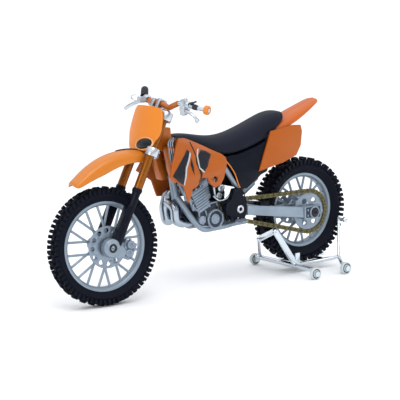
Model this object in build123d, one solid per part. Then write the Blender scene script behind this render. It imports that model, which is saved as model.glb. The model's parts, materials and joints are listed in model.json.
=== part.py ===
"""Toy motocross bike at about one twelfth of full size, parked with its rear wheel in a wheeled stand.

+X points forward, +Y to the rider's left and +Z up, in millimetres. The bike is drawn about a point on
the floor midway between its axles, and every piece is moved at the end so that the origin is the middle
of the overall length on the floor. Pieces that steer are drawn straight ahead in the fork's own frame
(w forward and square to the fork, u up along it) and then turned by the angle at which the bars rest.
"""
from build123d import *
import os
from math import atan2, cos, degrees, hypot, pi, radians, sin, sqrt, tan

# ---------------------------------------------------------------- driving sizes
WHEELBASE = 123.4
RAKE = 26.5              # steering axis from upright, degrees
STEER_REST = -5.7        # the bars rest slightly to the bike's right
AXLE_LEAD = 4.3          # front axle ahead of the steering axis
LEG_LEAD = 1.8           # fork legs ahead of the steering axis
LEG_SPREAD = 8.1         # each fork leg from the middle plane
FRONT_AXLE_Z = 29.06     # also the front tyre's radius: it stands on the floor
REAR_AXLE_Z = 32.2       # the stand holds the rear wheel up
REAR_TYRE_R = 27.6
FRONT_TYRE_W = 8.1
REAR_TYRE_W = 10.6
FRONT_LUGS = 44          # blocks round the tread
REAR_LUGS = 38
LUG_DEPTH = 1.2
FRONT_LIP_R = 21.9       # outer edge of the rim
REAR_LIP_R = 19.4
FRONT_RIM_HALF = 2.1     # half the rim's width
REAR_RIM_HALF = 2.6
BOX_MIDDLE_X = 0.68      # middle of the overall length, ahead of mid-wheelbase

RUN = 0.05               # radial clearance of a running fit
SEAT = 0.06              # gap between two pieces that are fixed to each other
GAP = 0.3                # gap between a fixed piece and a moving one

AXLE_R = 1.0
STEM_R = 1.6
LEG_R = 2.1              # black lower leg
TUBE_R = 2.15            # upper tube
TUBE_START = 30.5        # along the fork, where the upper tube begins
TUBE_END = 71.6
LOWER_CLAMP = (48.3, 52.3)   # bottom and top along the fork
UPPER_CLAMP = (66.8, 71.0)
BAR_R = 1.5
BAR_END_R = 0.95
SPOKE_R = 0.62
SPOKE_PAIRS = 10
SPOKE_CROSS_R = 10.3     # where the two spokes of a pair cross
SPOKE_PHASE = 20.0       # direction of the first pair, degrees up from forward
SPOKE_SPREAD = 9.0       # a spoke's end at the rim, degrees from its pair's middle
HUB_FLANGE_R = 4.9

FRAME_R = 1.6            # lower cradle tubes
CRADLE_Y = 6.5
CRADLE_REAR_Y = 4.8      # behind the engine the tubes run inside the chain
SWING_IN = 9.2           # swingarm bars, inner and outer faces
SWING_OUT = 12.2
PIVOT = (-12.6, 39.8)    # swingarm pivot, x and z
DRIVE = (-6.0, 40.0)     # front chain wheel's middle, x and z
DRIVE_R = 3.2
SPROCKET_R = 10.0
CHAIN_Y = (6.9, 8.7)
CHAIN_H = 1.6

ROLLER_R = 3.1
ROLLER_W = 2.2
ROLLER_Y = 24.6
ROLLER_X = (-51.5, -72.3)
STAND_ROD_R = 1.0
RAIL_Y = 6.7
RAIL_Z = 4.7

FRONT_X = WHEELBASE / 2
REAR_X = -WHEELBASE / 2
LEAN = radians(RAKE)
# the point of the steering axis nearest to the front axle
HEAD_X = FRONT_X - AXLE_LEAD * cos(LEAN)
HEAD_Z = FRONT_AXLE_Z - AXLE_LEAD * sin(LEAN)

FORK = Pos(HEAD_X, 0, HEAD_Z) * Rot(0, -RAKE, 0)
STEERED = FORK * Rot(0, 0, STEER_REST)
TURN = STEERED * FORK.inverse()
TO_ORIGIN = Pos(-BOX_MIDDLE_X, 0, 0)

pieces = {}


def keep(name, shape, place=None):
    """Store a finished piece under its node's name, moved to the shared origin."""
    shape = group(shape)
    if place is not None:
        shape = shape.moved(place)
    pieces[name] = shape.moved(TO_ORIGIN)


# ---------------------------------------------------------------- small makers
def solids_of(shapes):
    """Every solid in a shape or in a nested list of shapes."""
    if isinstance(shapes, (list, tuple)):
        return [solid for shape in shapes for solid in solids_of(shape)]
    return list(shapes.solids())


def join(*shapes):
    """Fuse everything given into one shape."""
    first, *rest = solids_of(list(shapes))
    fused = first.fuse(*rest) if rest else first
    return Compound(solids_of(fused))


def cut(shape, *tools):
    """Take every tool away from each solid of a shape."""
    away = solids_of(list(tools))
    left = []
    for solid in solids_of(shape):
        left += solids_of(solid.cut(*away))
    return Compound(left)


def group(*shapes):
    """Solids that stay separate but share a node."""
    return Compound(solids_of(list(shapes)))


def rod(start, end, radius):
    """Round bar from one point to another."""
    run = Vector(*end) - Vector(*start)
    plane = Plane(origin=start, z_dir=run)
    return plane * Cylinder(radius, run.length, align=(Align.CENTER, Align.CENTER, Align.MIN))


def tube_along(points, radius, bends):
    """Round bar that follows straight runs joined by arcs."""
    path = FilletPolyline(*points, radius=bends)
    section = Plane(origin=path @ 0, z_dir=path % 0) * Circle(radius)
    return sweep(section, path=path)


def slab(outline, low_y, high_y):
    """Plate with a side-view outline (x, z), from one y to another."""
    ring = Polyline(*[(x, low_y, z) for x, z in outline], close=True)
    return extrude(make_face(ring), amount=high_y - low_y, dir=(0, 1, 0))


def block(low, high):
    """Box from its low corner to its high corner."""
    size = [h - l for l, h in zip(low, high)]
    middle = [(l + h) / 2 for l, h in zip(low, high)]
    return Pos(*middle) * Box(*size)


def disc_y(radius, low_y, high_y, x=0.0, z=0.0):
    """Round disc about an axis along Y."""
    return rod((x, low_y, z), (x, high_y, z), radius)


def flat_bar(start, end, width, thick, across):
    """Flat strip between two points; across is the direction of its width."""
    run = Vector(*end) - Vector(*start)
    plane = Plane(origin=start, x_dir=across, z_dir=run)
    return plane * Box(width, thick, run.length, align=(Align.CENTER, Align.CENTER, Align.MIN))


def skin(sections):
    """Solid through cross-sections: each is (x, [(y, z), ...]) with as many points as the others."""
    rings = [Wire.make_polygon([(x, y, z) for y, z in ring], close=True) for x, ring in sections]
    return Solid.make_loft(rings, ruled=True)


def mirrored(half):
    """Close a half outline (y >= 0, from the bottom round to the top) with its mirror image."""
    return half + [(-y, z) for y, z in reversed(half)]


def both_sides(shape):
    return [shape, mirror(shape, about=Plane.XZ)]


# ---------------------------------------------------------------- wheels
def tread_cutter(radius, width, lugs):
    """Toothed prism about the Y axis that leaves a tyre's blocks and clears the grooves between them."""
    step = 2 * pi / lugs
    corners = []
    for lug in range(lugs):
        for share, r in ((0.0, radius + 1.0), (0.54, radius + 1.0), (0.58, radius - LUG_DEPTH), (0.96, radius - LUG_DEPTH)):
            angle = (lug + share) * step
            corners.append((r * cos(angle), r * sin(angle)))
    return slab(corners, -width, width)


def tyre(radius, width, lip_r, rim_half, lugs):
    """Tyre about the Y axis: its bead seats on the rim and its tread blocks reach the given radius."""
    seat_r = lip_r - 0.7 + SEAT
    seat_half = rim_half - 0.4 - SEAT
    lip_top = lip_r + SEAT
    shoulder = (radius - 0.13 * width, 0.47 * width)
    wall = ((lip_top + shoulder[0]) / 2 + 0.4, width / 2)
    with BuildSketch() as profile:
        with BuildLine():
            Polyline((seat_r, -seat_half), (seat_r, seat_half), (lip_top, seat_half), (lip_top, rim_half))
            ThreePointArc((lip_top, rim_half), wall, shoulder)
            ThreePointArc(shoulder, (radius, 0), (shoulder[0], -shoulder[1]))
            ThreePointArc((shoulder[0], -shoulder[1]), (wall[0], -wall[1]), (lip_top, -rim_half))
            Polyline((lip_top, -rim_half), (lip_top, -seat_half), (seat_r, -seat_half))
        make_face()
    return revolve(profile.sketch, Axis.Y) & tread_cutter(radius, width, lugs)


def ring_about_y(points):
    """Turned ring about the Y axis from an (r, y) outline."""
    return revolve(make_face(Polyline(*[(r, y, 0) for r, y in points], close=True)), Axis.Y)


def rim(lip_r, half, hub_half_left, hub_half_right, bore_r):
    """Rim, crossed pairs of spokes and hub in one casting."""
    seat_r = lip_r - 0.7
    inner_r = lip_r - 2.1
    hoop = ring_about_y([
        (inner_r, -half * 0.6), (inner_r, half * 0.6), (seat_r - 0.5, half), (lip_r, half),
        (lip_r, half - 0.4), (seat_r, half - 0.4), (seat_r, 0.4 - half), (lip_r, 0.4 - half),
        (lip_r, -half), (seat_r - 0.5, -half)])
    hub = disc_y(2.5, -hub_half_right, hub_half_left)
    flanges = [disc_y(HUB_FLANGE_R + 0.9, 1.15, 2.65), disc_y(HUB_FLANGE_R + 0.9, -2.65, -1.15)]
    spokes = []
    root_angle = atan2(spoke_offset(HUB_FLANGE_R, inner_r), HUB_FLANGE_R)
    tip_r = inner_r + 0.5
    for pair in range(SPOKE_PAIRS):
        middle = radians(SPOKE_PHASE) + 2 * pi * pair / SPOKE_PAIRS
        for side in (-1, 1):
            root = middle - side * root_angle
            tip = middle + side * radians(SPOKE_SPREAD)
            start = (HUB_FLANGE_R * cos(root), 1.9, HUB_FLANGE_R * sin(root))
            end = (tip_r * cos(tip), 0.4, tip_r * sin(tip))
            spokes.append(rod(start, end, SPOKE_R))
    return cut(join(hoop, spokes, hub, flanges), disc_y(bore_r, -20, 20))


def spoke_offset(root_r, inner_r):
    """Sideways offset of a spoke at its root, past the point where its pair crosses."""
    reach = inner_r * cos(radians(SPOKE_SPREAD)) - SPOKE_CROSS_R
    slope = inner_r * sin(radians(SPOKE_SPREAD)) / reach
    return slope * (SPOKE_CROSS_R - root_r)


def brake_disc(radius, bore_r, low_y, high_y, holes):
    """Drilled brake disc about the Y axis."""
    disc = disc_y(radius, low_y, high_y)
    drilled = []
    for k in range(holes):
        angle = 2 * pi * k / holes
        middle = radius * 0.78
        drilled.append(disc_y(radius * 0.11, low_y - 1, high_y + 1, middle * cos(angle), middle * sin(angle)))
    return cut(disc, drilled, disc_y(bore_r, low_y - 1, high_y + 1))


FRONT_WHEEL = TURN * Pos(FRONT_X, 0, FRONT_AXLE_Z)
REAR_WHEEL = Pos(REAR_X, 0, REAR_AXLE_Z)
FRONT_DISC = (4.2, 4.8)
REAR_DISC = (-7.4, -6.8)
SPROCKET_Y = (7.3, 8.0)
BORE_R = AXLE_R + RUN


def make_wheels():
    keep("front_tyre", tyre(FRONT_AXLE_Z, FRONT_TYRE_W, FRONT_LIP_R, FRONT_RIM_HALF, FRONT_LUGS), FRONT_WHEEL)
    keep("front_rim", rim(FRONT_LIP_R, FRONT_RIM_HALF, FRONT_DISC[0], 4.6, BORE_R), FRONT_WHEEL)
    keep("front_disc", brake_disc(10.3, 1.6, *FRONT_DISC, 12), FRONT_WHEEL)
    keep("rear_tyre", tyre(REAR_TYRE_R, REAR_TYRE_W, REAR_LIP_R, REAR_RIM_HALF, REAR_LUGS), REAR_WHEEL)
    keep("rear_rim", rim(REAR_LIP_R, REAR_RIM_HALF, SPROCKET_Y[0], -REAR_DISC[1], BORE_R), REAR_WHEEL)
    keep("rear_disc", brake_disc(8.6, 1.6, *REAR_DISC, 10), REAR_WHEEL)
    windows = []
    for k in range(6):
        angle = 2 * pi * k / 6
        windows.append(disc_y(1.5, 0, 20, 6.2 * cos(angle), 6.2 * sin(angle)))
    keep("rear_sprocket", cut(disc_y(SPROCKET_R, *SPROCKET_Y), windows, disc_y(1.6, 0, 20)), REAR_WHEEL)


# ---------------------------------------------------------------- fork and bars
def make_fork():
    """Clamps, tubes, legs, axle and front caliper, in the fork's frame: x is w and z is u."""
    bore = rod((0, 0, 40), (0, 0, 80), STEM_R + SEAT)
    tubes = [rod((LEG_LEAD, s * LEG_SPREAD, 20), (LEG_LEAD, s * LEG_SPREAD, 80), TUBE_R + SEAT) for s in (1, -1)]
    stem = rod((0, 0, LOWER_CLAMP[1] - 1), (0, 0, UPPER_CLAMP[1] + 0.6), STEM_R)
    lower = join(cut(clamp_block(LOWER_CLAMP, 3.1), tubes), stem)
    upper = cut(clamp_block(UPPER_CLAMP, 3.1), tubes, bore)
    keep("lower_clamp", lower, STEERED)
    keep("upper_clamp", upper, STEERED)
    for side, name in ((1, "left"), (-1, "right")):
        y = side * LEG_SPREAD
        keep("fork_tube_" + name, rod((LEG_LEAD, y, TUBE_START), (LEG_LEAD, y, TUBE_END), TUBE_R), STEERED)
        keep("fork_leg_" + name, fork_leg(side), STEERED)
    axle_end = LEG_SPREAD + 1.7
    axle = disc_y(AXLE_R, -axle_end, axle_end, AXLE_LEAD, 0)
    bolts = [disc_y(1.5, y, y + 0.5, AXLE_LEAD, 0) for y in (axle_end - 0.3, -axle_end - 0.2)]
    hollow = disc_y(0.55, axle_end - 2.0, axle_end + 1, AXLE_LEAD, 0)
    keep("front_axle", cut(join(axle, bolts), hollow), STEERED)
    keep("front_caliper", front_caliper(), STEERED)


def clamp_block(span, half_depth):
    """Clamp across the fork with rounded ends round the two tubes."""
    middle = block((-half_depth, 1 - LEG_SPREAD, span[0]), (half_depth, LEG_SPREAD - 1, span[1]))
    ends = [rod((LEG_LEAD - 0.6, s * LEG_SPREAD, span[0]), (LEG_LEAD - 0.6, s * LEG_SPREAD, span[1]), 3.3)
            for s in (1, -1)]
    return join(middle, ends)


def fork_leg(side):
    """Lower leg with its axle lug."""
    y = side * LEG_SPREAD
    leg = rod((LEG_LEAD, y, 1.0), (LEG_LEAD, y, TUBE_START - SEAT), LEG_R)
    inner, outer = sorted((side * (LEG_SPREAD - 2.0), side * (LEG_SPREAD + 1.3)))
    lug = disc_y(2.6, inner, outer, AXLE_LEAD, 0)
    foot = block((LEG_LEAD - 1.6, inner, -1.8), (AXLE_LEAD, outer, 3.5))
    guard = block((LEG_LEAD + 0.6, min(y - 1.9, y + 1.9), 3), (LEG_LEAD + 2.9, max(y - 1.9, y + 1.9), 22))
    return cut(join(leg, lug, foot, guard), disc_y(AXLE_R + 0.02, -20, 20, AXLE_LEAD, 0))


def front_caliper():
    """Caliper behind the left leg, astride the disc."""
    middle_w, middle_u = AXLE_LEAD - 9.6, 3.2
    body = block((middle_w - 3.6, 3.2, middle_u - 3.6), (middle_w + 3.2, 7.6, middle_u + 3.6))
    slot_low, slot_high = FRONT_DISC[0] - GAP, FRONT_DISC[1] + GAP
    slot = disc_y(10.3 + 0.4, slot_low, slot_high, AXLE_LEAD, 0)
    hanger = block((middle_w, 5.9, middle_u - 1.5), (LEG_LEAD, 7.4, middle_u + 1.5))
    leg = rod((LEG_LEAD, LEG_SPREAD, -5), (LEG_LEAD, LEG_SPREAD, 40), LEG_R + SEAT)
    foot = block((LEG_LEAD - 1.6 - SEAT, 5, -2), (AXLE_LEAD, 12, 3.5 + SEAT))
    return cut(join(cut(body, slot), hanger), leg, foot)


# the handlebar's middle line, straight ahead: the bar sits skewed in its clamps, its right end higher
BAR_MIDDLE = [(23.6, -14.5, 95.7), (26.9, -6.0, 95.3), (27.2, 5.0, 95.2), (24.6, 17.0, 94.7)]
BAR_LEFT_END = [(24.6, 17.0, 94.7), (23.3, 24.0, 94.1), (20.3, 33.4, 93.4)]
BAR_RIGHT_END = [(23.6, -14.5, 95.7), (21.4, -23.5, 96.5), (15.1, -33.7, 99.6)]


def along(start, end, distance):
    """Point at a distance from start towards end."""
    step = (Vector(*end) - Vector(*start)).normalized() * distance
    return tuple(Vector(*start) + step)


def make_bars():
    bar = tube_along(BAR_MIDDLE, BAR_R, 4.0)
    left = tube_along(BAR_LEFT_END, BAR_END_R, 6.0)
    right = tube_along(BAR_RIGHT_END, BAR_END_R, 6.0)
    keep("handlebar", join(bar, left, right), TURN)
    knob_start = along(BAR_LEFT_END[-1], BAR_LEFT_END[-2], 2.6)
    knob = rod(knob_start, along(BAR_LEFT_END[-1], BAR_LEFT_END[-2], -0.6), 2.4)
    keep("left_bar_knob", cut(knob, rod(BAR_LEFT_END[-2], BAR_LEFT_END[-1], BAR_END_R + 0.02)), TURN)
    grip_end = along(BAR_RIGHT_END[-1], BAR_RIGHT_END[-2], -0.7)
    grip_start = along(BAR_RIGHT_END[-2], BAR_RIGHT_END[-1], 1.4)
    keep("right_grip", cut(rod(grip_start, grip_end, 1.9), rod(BAR_RIGHT_END[-2], BAR_RIGHT_END[-1], BAR_END_R + 0.02)), TURN)
    make_bar_clamps()
    make_levers()


def make_bar_clamps():
    """Two clamps that hold the bar on the upper clamp."""
    bar_room = TURN * tube_along(BAR_MIDDLE, BAR_R + SEAT, 4.0)
    clamps = []
    for y in (-2.7, 2.7):
        clamps.append(STEERED * block((0.9, y - 1.2, UPPER_CLAMP[1] + 0.02), (5.0, y + 1.2, UPPER_CLAMP[1] + 5.8)))
    keep("bar_clamps", cut(group(clamps), bar_room))


def make_levers():
    """Brake and clutch levers, each with the perch that holds it on the bar."""
    left_bar = rod(BAR_LEFT_END[0], BAR_LEFT_END[1], BAR_END_R + 0.03)
    perch = rod((24.3, 18.6, 94.6), (23.7, 22.0, 94.3), 2.3)
    pivot = block((24.0, 17.8, 91.2), (27.6, 21.4, 94.6))
    blade = tube_along([(26.2, 19.0, 92.4), (26.6, 24.0, 91.4), (23.6, 30.0, 88.6)], 0.75, 4.0)
    keep("clutch_lever", cut(join(perch, pivot, blade), left_bar), TURN)
    right_bar = rod(BAR_RIGHT_END[0], BAR_RIGHT_END[1], BAR_END_R + 0.03)
    perch = rod((23.0, -17.4, 95.9), (22.2, -21.6, 96.35), 2.1)
    pivot = block((22.4, -21.6, 94.6), (27.0, -18.0, 96.8))
    blade = tube_along([(26.0, -19.0, 95.6), (29.0, -23.0, 94.6), (28.4, -30.0, 91.6)], 0.8, 4.0)
    keep("brake_lever", cut(join(perch, pivot, blade), right_bar), TURN)


def make_front_fender():
    """Front fender under the lower clamp: an arched blade that dips to its tip."""
    wall = 0.9
    stations = [(37.0, 73.6, 5.2, 7.0), (45.0, 75.6, 6.2, 7.6), (54.0, 75.9, 6.6, 7.8), (62.0, 74.3, 6.2, 6.8),
                (69.5, 69.7, 5.4, 5.0), (76.8, 61.0, 3.8, 2.2)]
    sections = []
    for x, top, half, drop in stations:
        steep = 1.0 + max(0.0, (x - 60.0)) * 0.03
        outer = [(half, top - drop), (half * 0.9, top - drop * 0.3), (half * 0.45, top)]
        inner = [(half - wall, top - drop), (half * 0.9 - wall, top - drop * 0.3 - wall * steep * 0.7),
                 (half * 0.45 - wall * 0.3, top - wall * steep)]
        sections.append((x, outer + [(-y, z) for y, z in reversed(outer)] + [(-y, z) for y, z in inner] + inner[::-1]))
    fender = skin(sections)
    clamp_room = FORK * block((-6, -20, 40), (3.1 + SEAT, 20, 60))
    tube_room = [FORK * rod((LEG_LEAD, s * LEG_SPREAD, 20), (LEG_LEAD, s * LEG_SPREAD, 80), TUBE_R + 0.1) for s in (1, -1)]
    keep("front_fender", cut(fender, clamp_room, tube_room), TURN)


PLATE_SPAN = (50.6, 69.0)


def make_number_plate():
    """Curved number plate ahead of the clamps, with the opening near its lower edge."""
    wall = 1.0
    half, front, edge = 11.6, 7.2, 4.4
    with BuildSketch() as plan:
        with BuildLine():
            ThreePointArc((edge, -half), (front, 0), (edge, half))
            Line((edge, half), (edge - wall, half))
            ThreePointArc((edge - wall, half), (front - wall, 0), (edge - wall, -half))
            Line((edge - wall, -half), (edge, -half))
        make_face()
    low, high = PLATE_SPAN
    shell = extrude(Plane(origin=(0, 0, low)) * plan.sketch, amount=high - low)
    outline = [(-11.6, 51.5), (-11.0, low), (-4.5, low), (-2.8, low + 1.4), (5.0, low + 3.4), (8.4, low + 6.4),
               (11.6, 60.0), (11.6, 65.5), (10.2, high - 0.9), (8.0, high), (-8.0, high), (-10.2, high - 0.9), (-11.6, 65.0)]
    ring = Polyline(*[(0, y, u) for y, u in outline], close=True)
    front_cut = extrude(make_face(ring), amount=20, dir=(1, 0, 0))
    mouth = scale(Pos(0, 0, 0) * Rot(0, 90, 0) * Cylinder(1.0, 40), by=(1, 4.2, 1.8))
    mouth = Pos(0, -1.4, low + 4.0) * Rot(8, 0, 0) * mouth
    keep("number_plate", cut(shell & front_cut, mouth), STEERED)


# ---------------------------------------------------------------- frame
DOWNTUBE = [(21.8, 0, 70.5), (18.2, 0, 47.5)]
DOWNTUBE_R = 2.0
CRADLE = [(18.0, 0.9, 48.3), (12.6, CRADLE_Y - 1.3, 37.4), (6.5, CRADLE_Y, 30.8), (-8.0, CRADLE_Y, 31.3),
          (-13.6, CRADLE_REAR_Y, 31.5), (-21.5, CRADLE_REAR_Y, 31.8)]
CRADLE_BENDS = [14.0, 6.0, 10.0, 10.0]
SPINE = [(30.5, 84.0), (22.4, 83.2), (22.0, 79.0), (19.0, 76.4), (8.0, 72.0), (8.0, 67.5), (20.0, 69.0),
         (30.0, 73.6), (34.0, 75.6)]
SPINE_HALF = 2.7
RADIATOR = [(28.0, 74.5), (26.2, 64.0), (23.6, 56.5), (20.6, 56.5), (22.6, 64.0), (24.6, 74.5)]
RADIATOR_Y = (3.6, 8.2)
UPRIGHT = [(-0.6, 8.6, 66.0), (-6.1, 9.2, 60.4), (-13.6, 9.6, 49.8)]


def cradle_side(radius):
    return tube_along(CRADLE, radius, CRADLE_BENDS)


def upright_side(radius):
    return tube_along(UPRIGHT, radius, 8.0)


def make_frame():
    """Headstock and backbone, lower cradle, uprights and pivot plates."""
    low, high = LOWER_CLAMP[1] + GAP, UPPER_CLAMP[0] - GAP
    head = FORK * rod((0, 0, low), (0, 0, high), 3.0)
    stem_room = FORK * rod((0, 0, 40), (0, 0, 80), STEM_R + RUN)
    spine = slab(SPINE, -SPINE_HALF, SPINE_HALF)
    neck = cut(join(head, spine), stem_room)
    keep("frame_neck", neck)
    left = cradle_side(FRAME_R)
    tie = rod((-20.3, -CRADLE_REAR_Y, 31.75), (-20.3, CRADLE_REAR_Y, 31.75), 1.2)
    downtube = cut(rod(*DOWNTUBE, DOWNTUBE_R), neck)
    keep("frame_cradle", join(downtube, both_sides(left), tie))
    upright = upright_side(1.3)
    keep("frame_uprights", group(both_sides(upright)))
    plate = slab([(-8.6, 49.0), (-5.3, 45.2), (-7.7, 37.8), (-9.5, 33.2), (-16.2, 33.4), (-17.3, 37.7),
                  (-17.0, 43.9), (-15.6, 49.0)], 9.4, 12.2)
    plate = cut(plate, upright_side(1.3 + SEAT), cradle_side(FRAME_R + SEAT), disc_y(0.8, 0, 20, *PIVOT))
    keep("pivot_plates", group(both_sides(plate)))


# ---------------------------------------------------------------- engine
FIN_GAPS = (2.6, 3.7, 4.8, 5.9)      # grooves between the cylinder's fins, up from its foot


def make_engine():
    room = both_sides(cradle_side(FRAME_R + 0.12))
    outline = [(9.6, 42.0), (10.6, 37.0), (8.6, 32.5), (4.0, 30.2), (-7.5, 30.6), (-10.0, 35.0), (-9.4, 43.4),
               (-2.5, 44.6), (6.0, 44.2)]
    covers = [disc_y(4.9, 7.5, 8.9, 0.2, 35.9), disc_y(2.0, 7.5, 8.6, 8.0, 36.2)]
    covers += [disc_y(4.6, -9.6, -7.5, 0.0, 36.4), disc_y(3.4, -9.0, -7.5, -5.0, 40.0)]
    keep("engine_cases", cut(join(slab(outline, -7.6, 7.6), covers), room))
    barrel = Pos(4.4, 0, 44.9) * Rot(0, 14, 0)
    cylinder = barrel * block((-4.6, -5.2, 0), (4.6, 5.2, 11.0))
    for height in FIN_GAPS:
        ring = cut(block((-5, -6, height), (5, 6, height + 0.5)), block((-4.0, -4.6, height - 1), (4.0, 4.6, height + 2)))
        cylinder = cut(cylinder, barrel * ring)
    cases_top = slab([(12, 44.3), (-12, 44.3), (-12, 20), (12, 20)], -12, 12)
    keep("cylinder_head", cut(cylinder, cases_top, slab(outline, -8, 8)))
    body = join(block((-8.4, -3.8, 46.2), (-1.2, 4.4, 52.2)), disc_y(2.1, 4.3, 5.8, -5.6, 50.6),
                disc_y(1.9, 4.3, 5.6, -4.6, 46.6))
    keep("carburettor", cut(body, barrel * block((-4.7, -5.4, -2), (4.7, 5.4, 12)), slab(outline, -8, 8)))


PIPE = [(9.0, -3.2, 49.8), (18.2, -6.2, 49.8), (20.6, -6.5, 42.0), (18.8, -7.2, 35.0), (11.0, -11.8, 35.0),
        (-8.0, -14.2, 48.0), (-20.0, -14.2, 59.0)]
LOOP = [(19.6, -5.0, 45.0), (18.8, 0.0, 42.6), (18.4, 0.0, 36.0), (14.6, 0.0, 34.4), (9.0, 0.0, 34.8)]


def make_exhaust():
    """Header with its two fat bends ahead of the engine, the mid pipe and the muffler on the right."""
    fat = tube_along(PIPE[:5], 2.7, [4.0, 7.0, 3.2])
    slim = tube_along(PIPE[4:], 1.6, 10.0)
    joint = Pos(*PIPE[4]) * Sphere(2.7)
    loop = tube_along(LOOP, 2.4, [3.0, 2.6, 4.0])
    room = both_sides(cradle_side(FRAME_R + 0.12))
    head = Pos(4.4, 0, 44.9) * Rot(0, 14, 0) * block((-4.7, -5.4, -2), (4.66, 5.4, 11.2))
    outline = [(9.7, 42.0), (10.7, 37.0), (8.7, 32.5), (4.0, 29), (-4, 29), (-4, 44.3), (6.0, 44.3)]
    cases = slab(outline, -7.7, 7.7)
    keep("exhaust_pipe", cut(join(fat, slim, joint, loop), room, head, cases, disc_y(4.7, -9.7, -7, 0.0, 36.4)))
    silencer = rod((-19.0, -14.0, 60.6), (-56.0, -14.0, 70.5), 3.1)
    cap = rod((-55.9, -14.0, 70.47), (-58.4, -14.0, 71.15), 2.2)
    outlet = rod((-55, -14.0, 70.2), (-60, -14.0, 71.6), 1.2)
    keep("muffler", cut(join(silencer, cap), outlet, rod(PIPE[-2], PIPE[-1], 1.6 + SEAT)))


def make_radiators():
    """One radiator behind each shroud."""
    core = cut(slab(RADIATOR, *RADIATOR_Y), FORK * rod((0, 0, 40), (0, 0, 80), 3.1))
    keep("radiators", group(both_sides(core)))


# ---------------------------------------------------------------- bodywork
SHROUD = [(22.5, 78.4), (25.6, 73.6), (28.1, 68.9), (30.6, 63.3), (31.8, 60.9), (27.8, 58.6), (23.0, 55.1),
          (21.3, 50.0), (20.2, 46.9), (18.3, 50.6), (17.6, 53.5), (14.5, 54.6), (12.6, 57.4), (10.6, 58.3),
          (7.8, 57.7), (6.0, 54.5), (2.9, 52.4), (-0.9, 53.7), (-2.8, 56.5), (-4.1, 60.4), (-5.5, 64.3),
          (-4.9, 66.8), (-2.4, 68.6), (3.2, 71.1), (8.5, 73.8), (14.5, 76.6), (18.5, 78.2)]


SHROUD_RIGHT = SHROUD[:9] + [(10.8, 46.6), (9.6, 52.5)] + SHROUD[14:]


def panel_section(x, inset):
    """Half cross-section of the side panels at x, pulled in by an inset."""
    flare = 0.07 * (x + 8.0)
    return [(11.6 + flare * 1.1 - inset, 44.0), (12.2 + flare - inset, 60.0), (10.8 + flare * 0.7 - inset, 70.0),
            (8.1 + flare * 0.3 - inset, 80.0)]


def panel_band(low_x, high_x, inset_outer, inset_inner):
    """Left-hand band of constant wall thickness in which a side panel lies."""
    rings = []
    for x in (low_x, high_x):
        outer = panel_section(x, inset_outer)
        inner = panel_section(x, inset_inner)
        rings.append((x, outer + inner[::-1]))
    return skin(rings)


def make_side_panels():
    band = panel_band(-8.0, 34.0, 0.0, 1.2)
    hole = disc_y(1.5, 0, 25, 2.8, 56.6)
    keep("shroud_left", cut(slab(SHROUD, 0, 25) & band, hole))
    keep("shroud_right", mirror(cut(slab(SHROUD_RIGHT, 0, 25) & band, hole), about=Plane.XZ))


def make_tank():
    inset = 1.2 + 0.15
    def ring(x, top, bottom, narrow):
        shoulder = bottom + 0.75 * (top - bottom)
        half = [(3.2, bottom), (10.4 - narrow, bottom + 2.0), (10.0 - narrow, shoulder), (6.6, top)]
        return (x, mirrored(half))
    sections = [ring(21.4, 77.6, 66.0, 2.6), ring(14.0, 76.3, 58.5, 0.2), ring(2.0, 70.6, 57.4, 0.0), ring(-4.2, 67.6, 60.0, 1.2)]
    tank = skin(sections)
    tunnel = slab([(26.0, 72.0), (8.1, 72.0), (8.1, 50.0), (26.0, 50.0)], -SPINE_HALF - 0.6, SPINE_HALF + 0.6)
    above = slab(SPINE, -SPINE_HALF - SEAT, SPINE_HALF + SEAT)
    cores = both_sides(slab(RADIATOR, RADIATOR_Y[0] - SEAT, RADIATOR_Y[1] + SEAT))
    keep("fuel_tank", cut(tank, tunnel, above, cores, both_sides(upright_side(1.3 + SEAT))))


def pieces_room(names):
    """Earlier pieces in drawing coordinates, to cut from a later one."""
    return [pieces[name].moved(TO_ORIGIN.inverse()) for name in names]


def make_seat():
    def ring(x, top, bottom, wide_top, wide_low):
        return (x, mirrored([(wide_low, bottom), (wide_low, (top + bottom) / 2), (wide_top, top)]))
    sections = [ring(20.6, 79.0, 78.3, 3.4, 4.4), ring(14.0, 79.7, 77.0, 3.6, 5.6), ring(3.0, 77.3, 71.9, 3.8, 6.6),
                ring(-6.0, 76.1, 67.9, 4.0, 7.2), ring(-16.0, 77.8, 68.0, 4.4, 7.6), ring(-28.0, 81.8, 71.0, 4.8, 7.8),
                ring(-38.0, 85.2, 75.2, 5.2, 7.6), ring(-44.5, 85.9, 79.2, 5.2, 7.2), ring(-49.0, 84.6, 83.0, 4.6, 5.6)]
    seat = skin(sections)
    keep("seat", cut(seat, pieces_room(["frame_neck", "fuel_tank", "shroud_left", "shroud_right"])))


def make_airbox():
    outline = [(-6.0, 66.4), (-10.2, 59.6), (-13.4, 50.2), (-18.3, 49.4), (-24.8, 53.2), (-28.1, 55.4), (-32.0, 56.6),
               (-34.5, 62.0), (-37.0, 73.6), (-27.0, 69.8), (-15.0, 66.9)]
    wings = skin([(-5.0, mirrored([(11.2, 44.0), (11.0, 58.0), (8.6, 72.0)])),
                  (-40.0, mirrored([(10.6, 44.0), (10.0, 58.0), (8.2, 78.0)]))])
    wings = slab(outline, -20, 20) & wings
    room = pieces_room(["frame_uprights", "pivot_plates", "seat", "fuel_tank", "muffler", "shroud_left", "shroud_right"])
    keep("airbox", cut(wings, room, both_sides(upright_side(1.3 + SEAT))))


SIDE_PLATE = [(-35.7, 76.6), (-43.6, 77.6), (-50.9, 78.4), (-55.6, 78.0), (-56.3, 74.9), (-54.9, 67.7), (-51.5, 62.9),
              (-42.8, 60.2), (-26.3, 57.3)]


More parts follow.
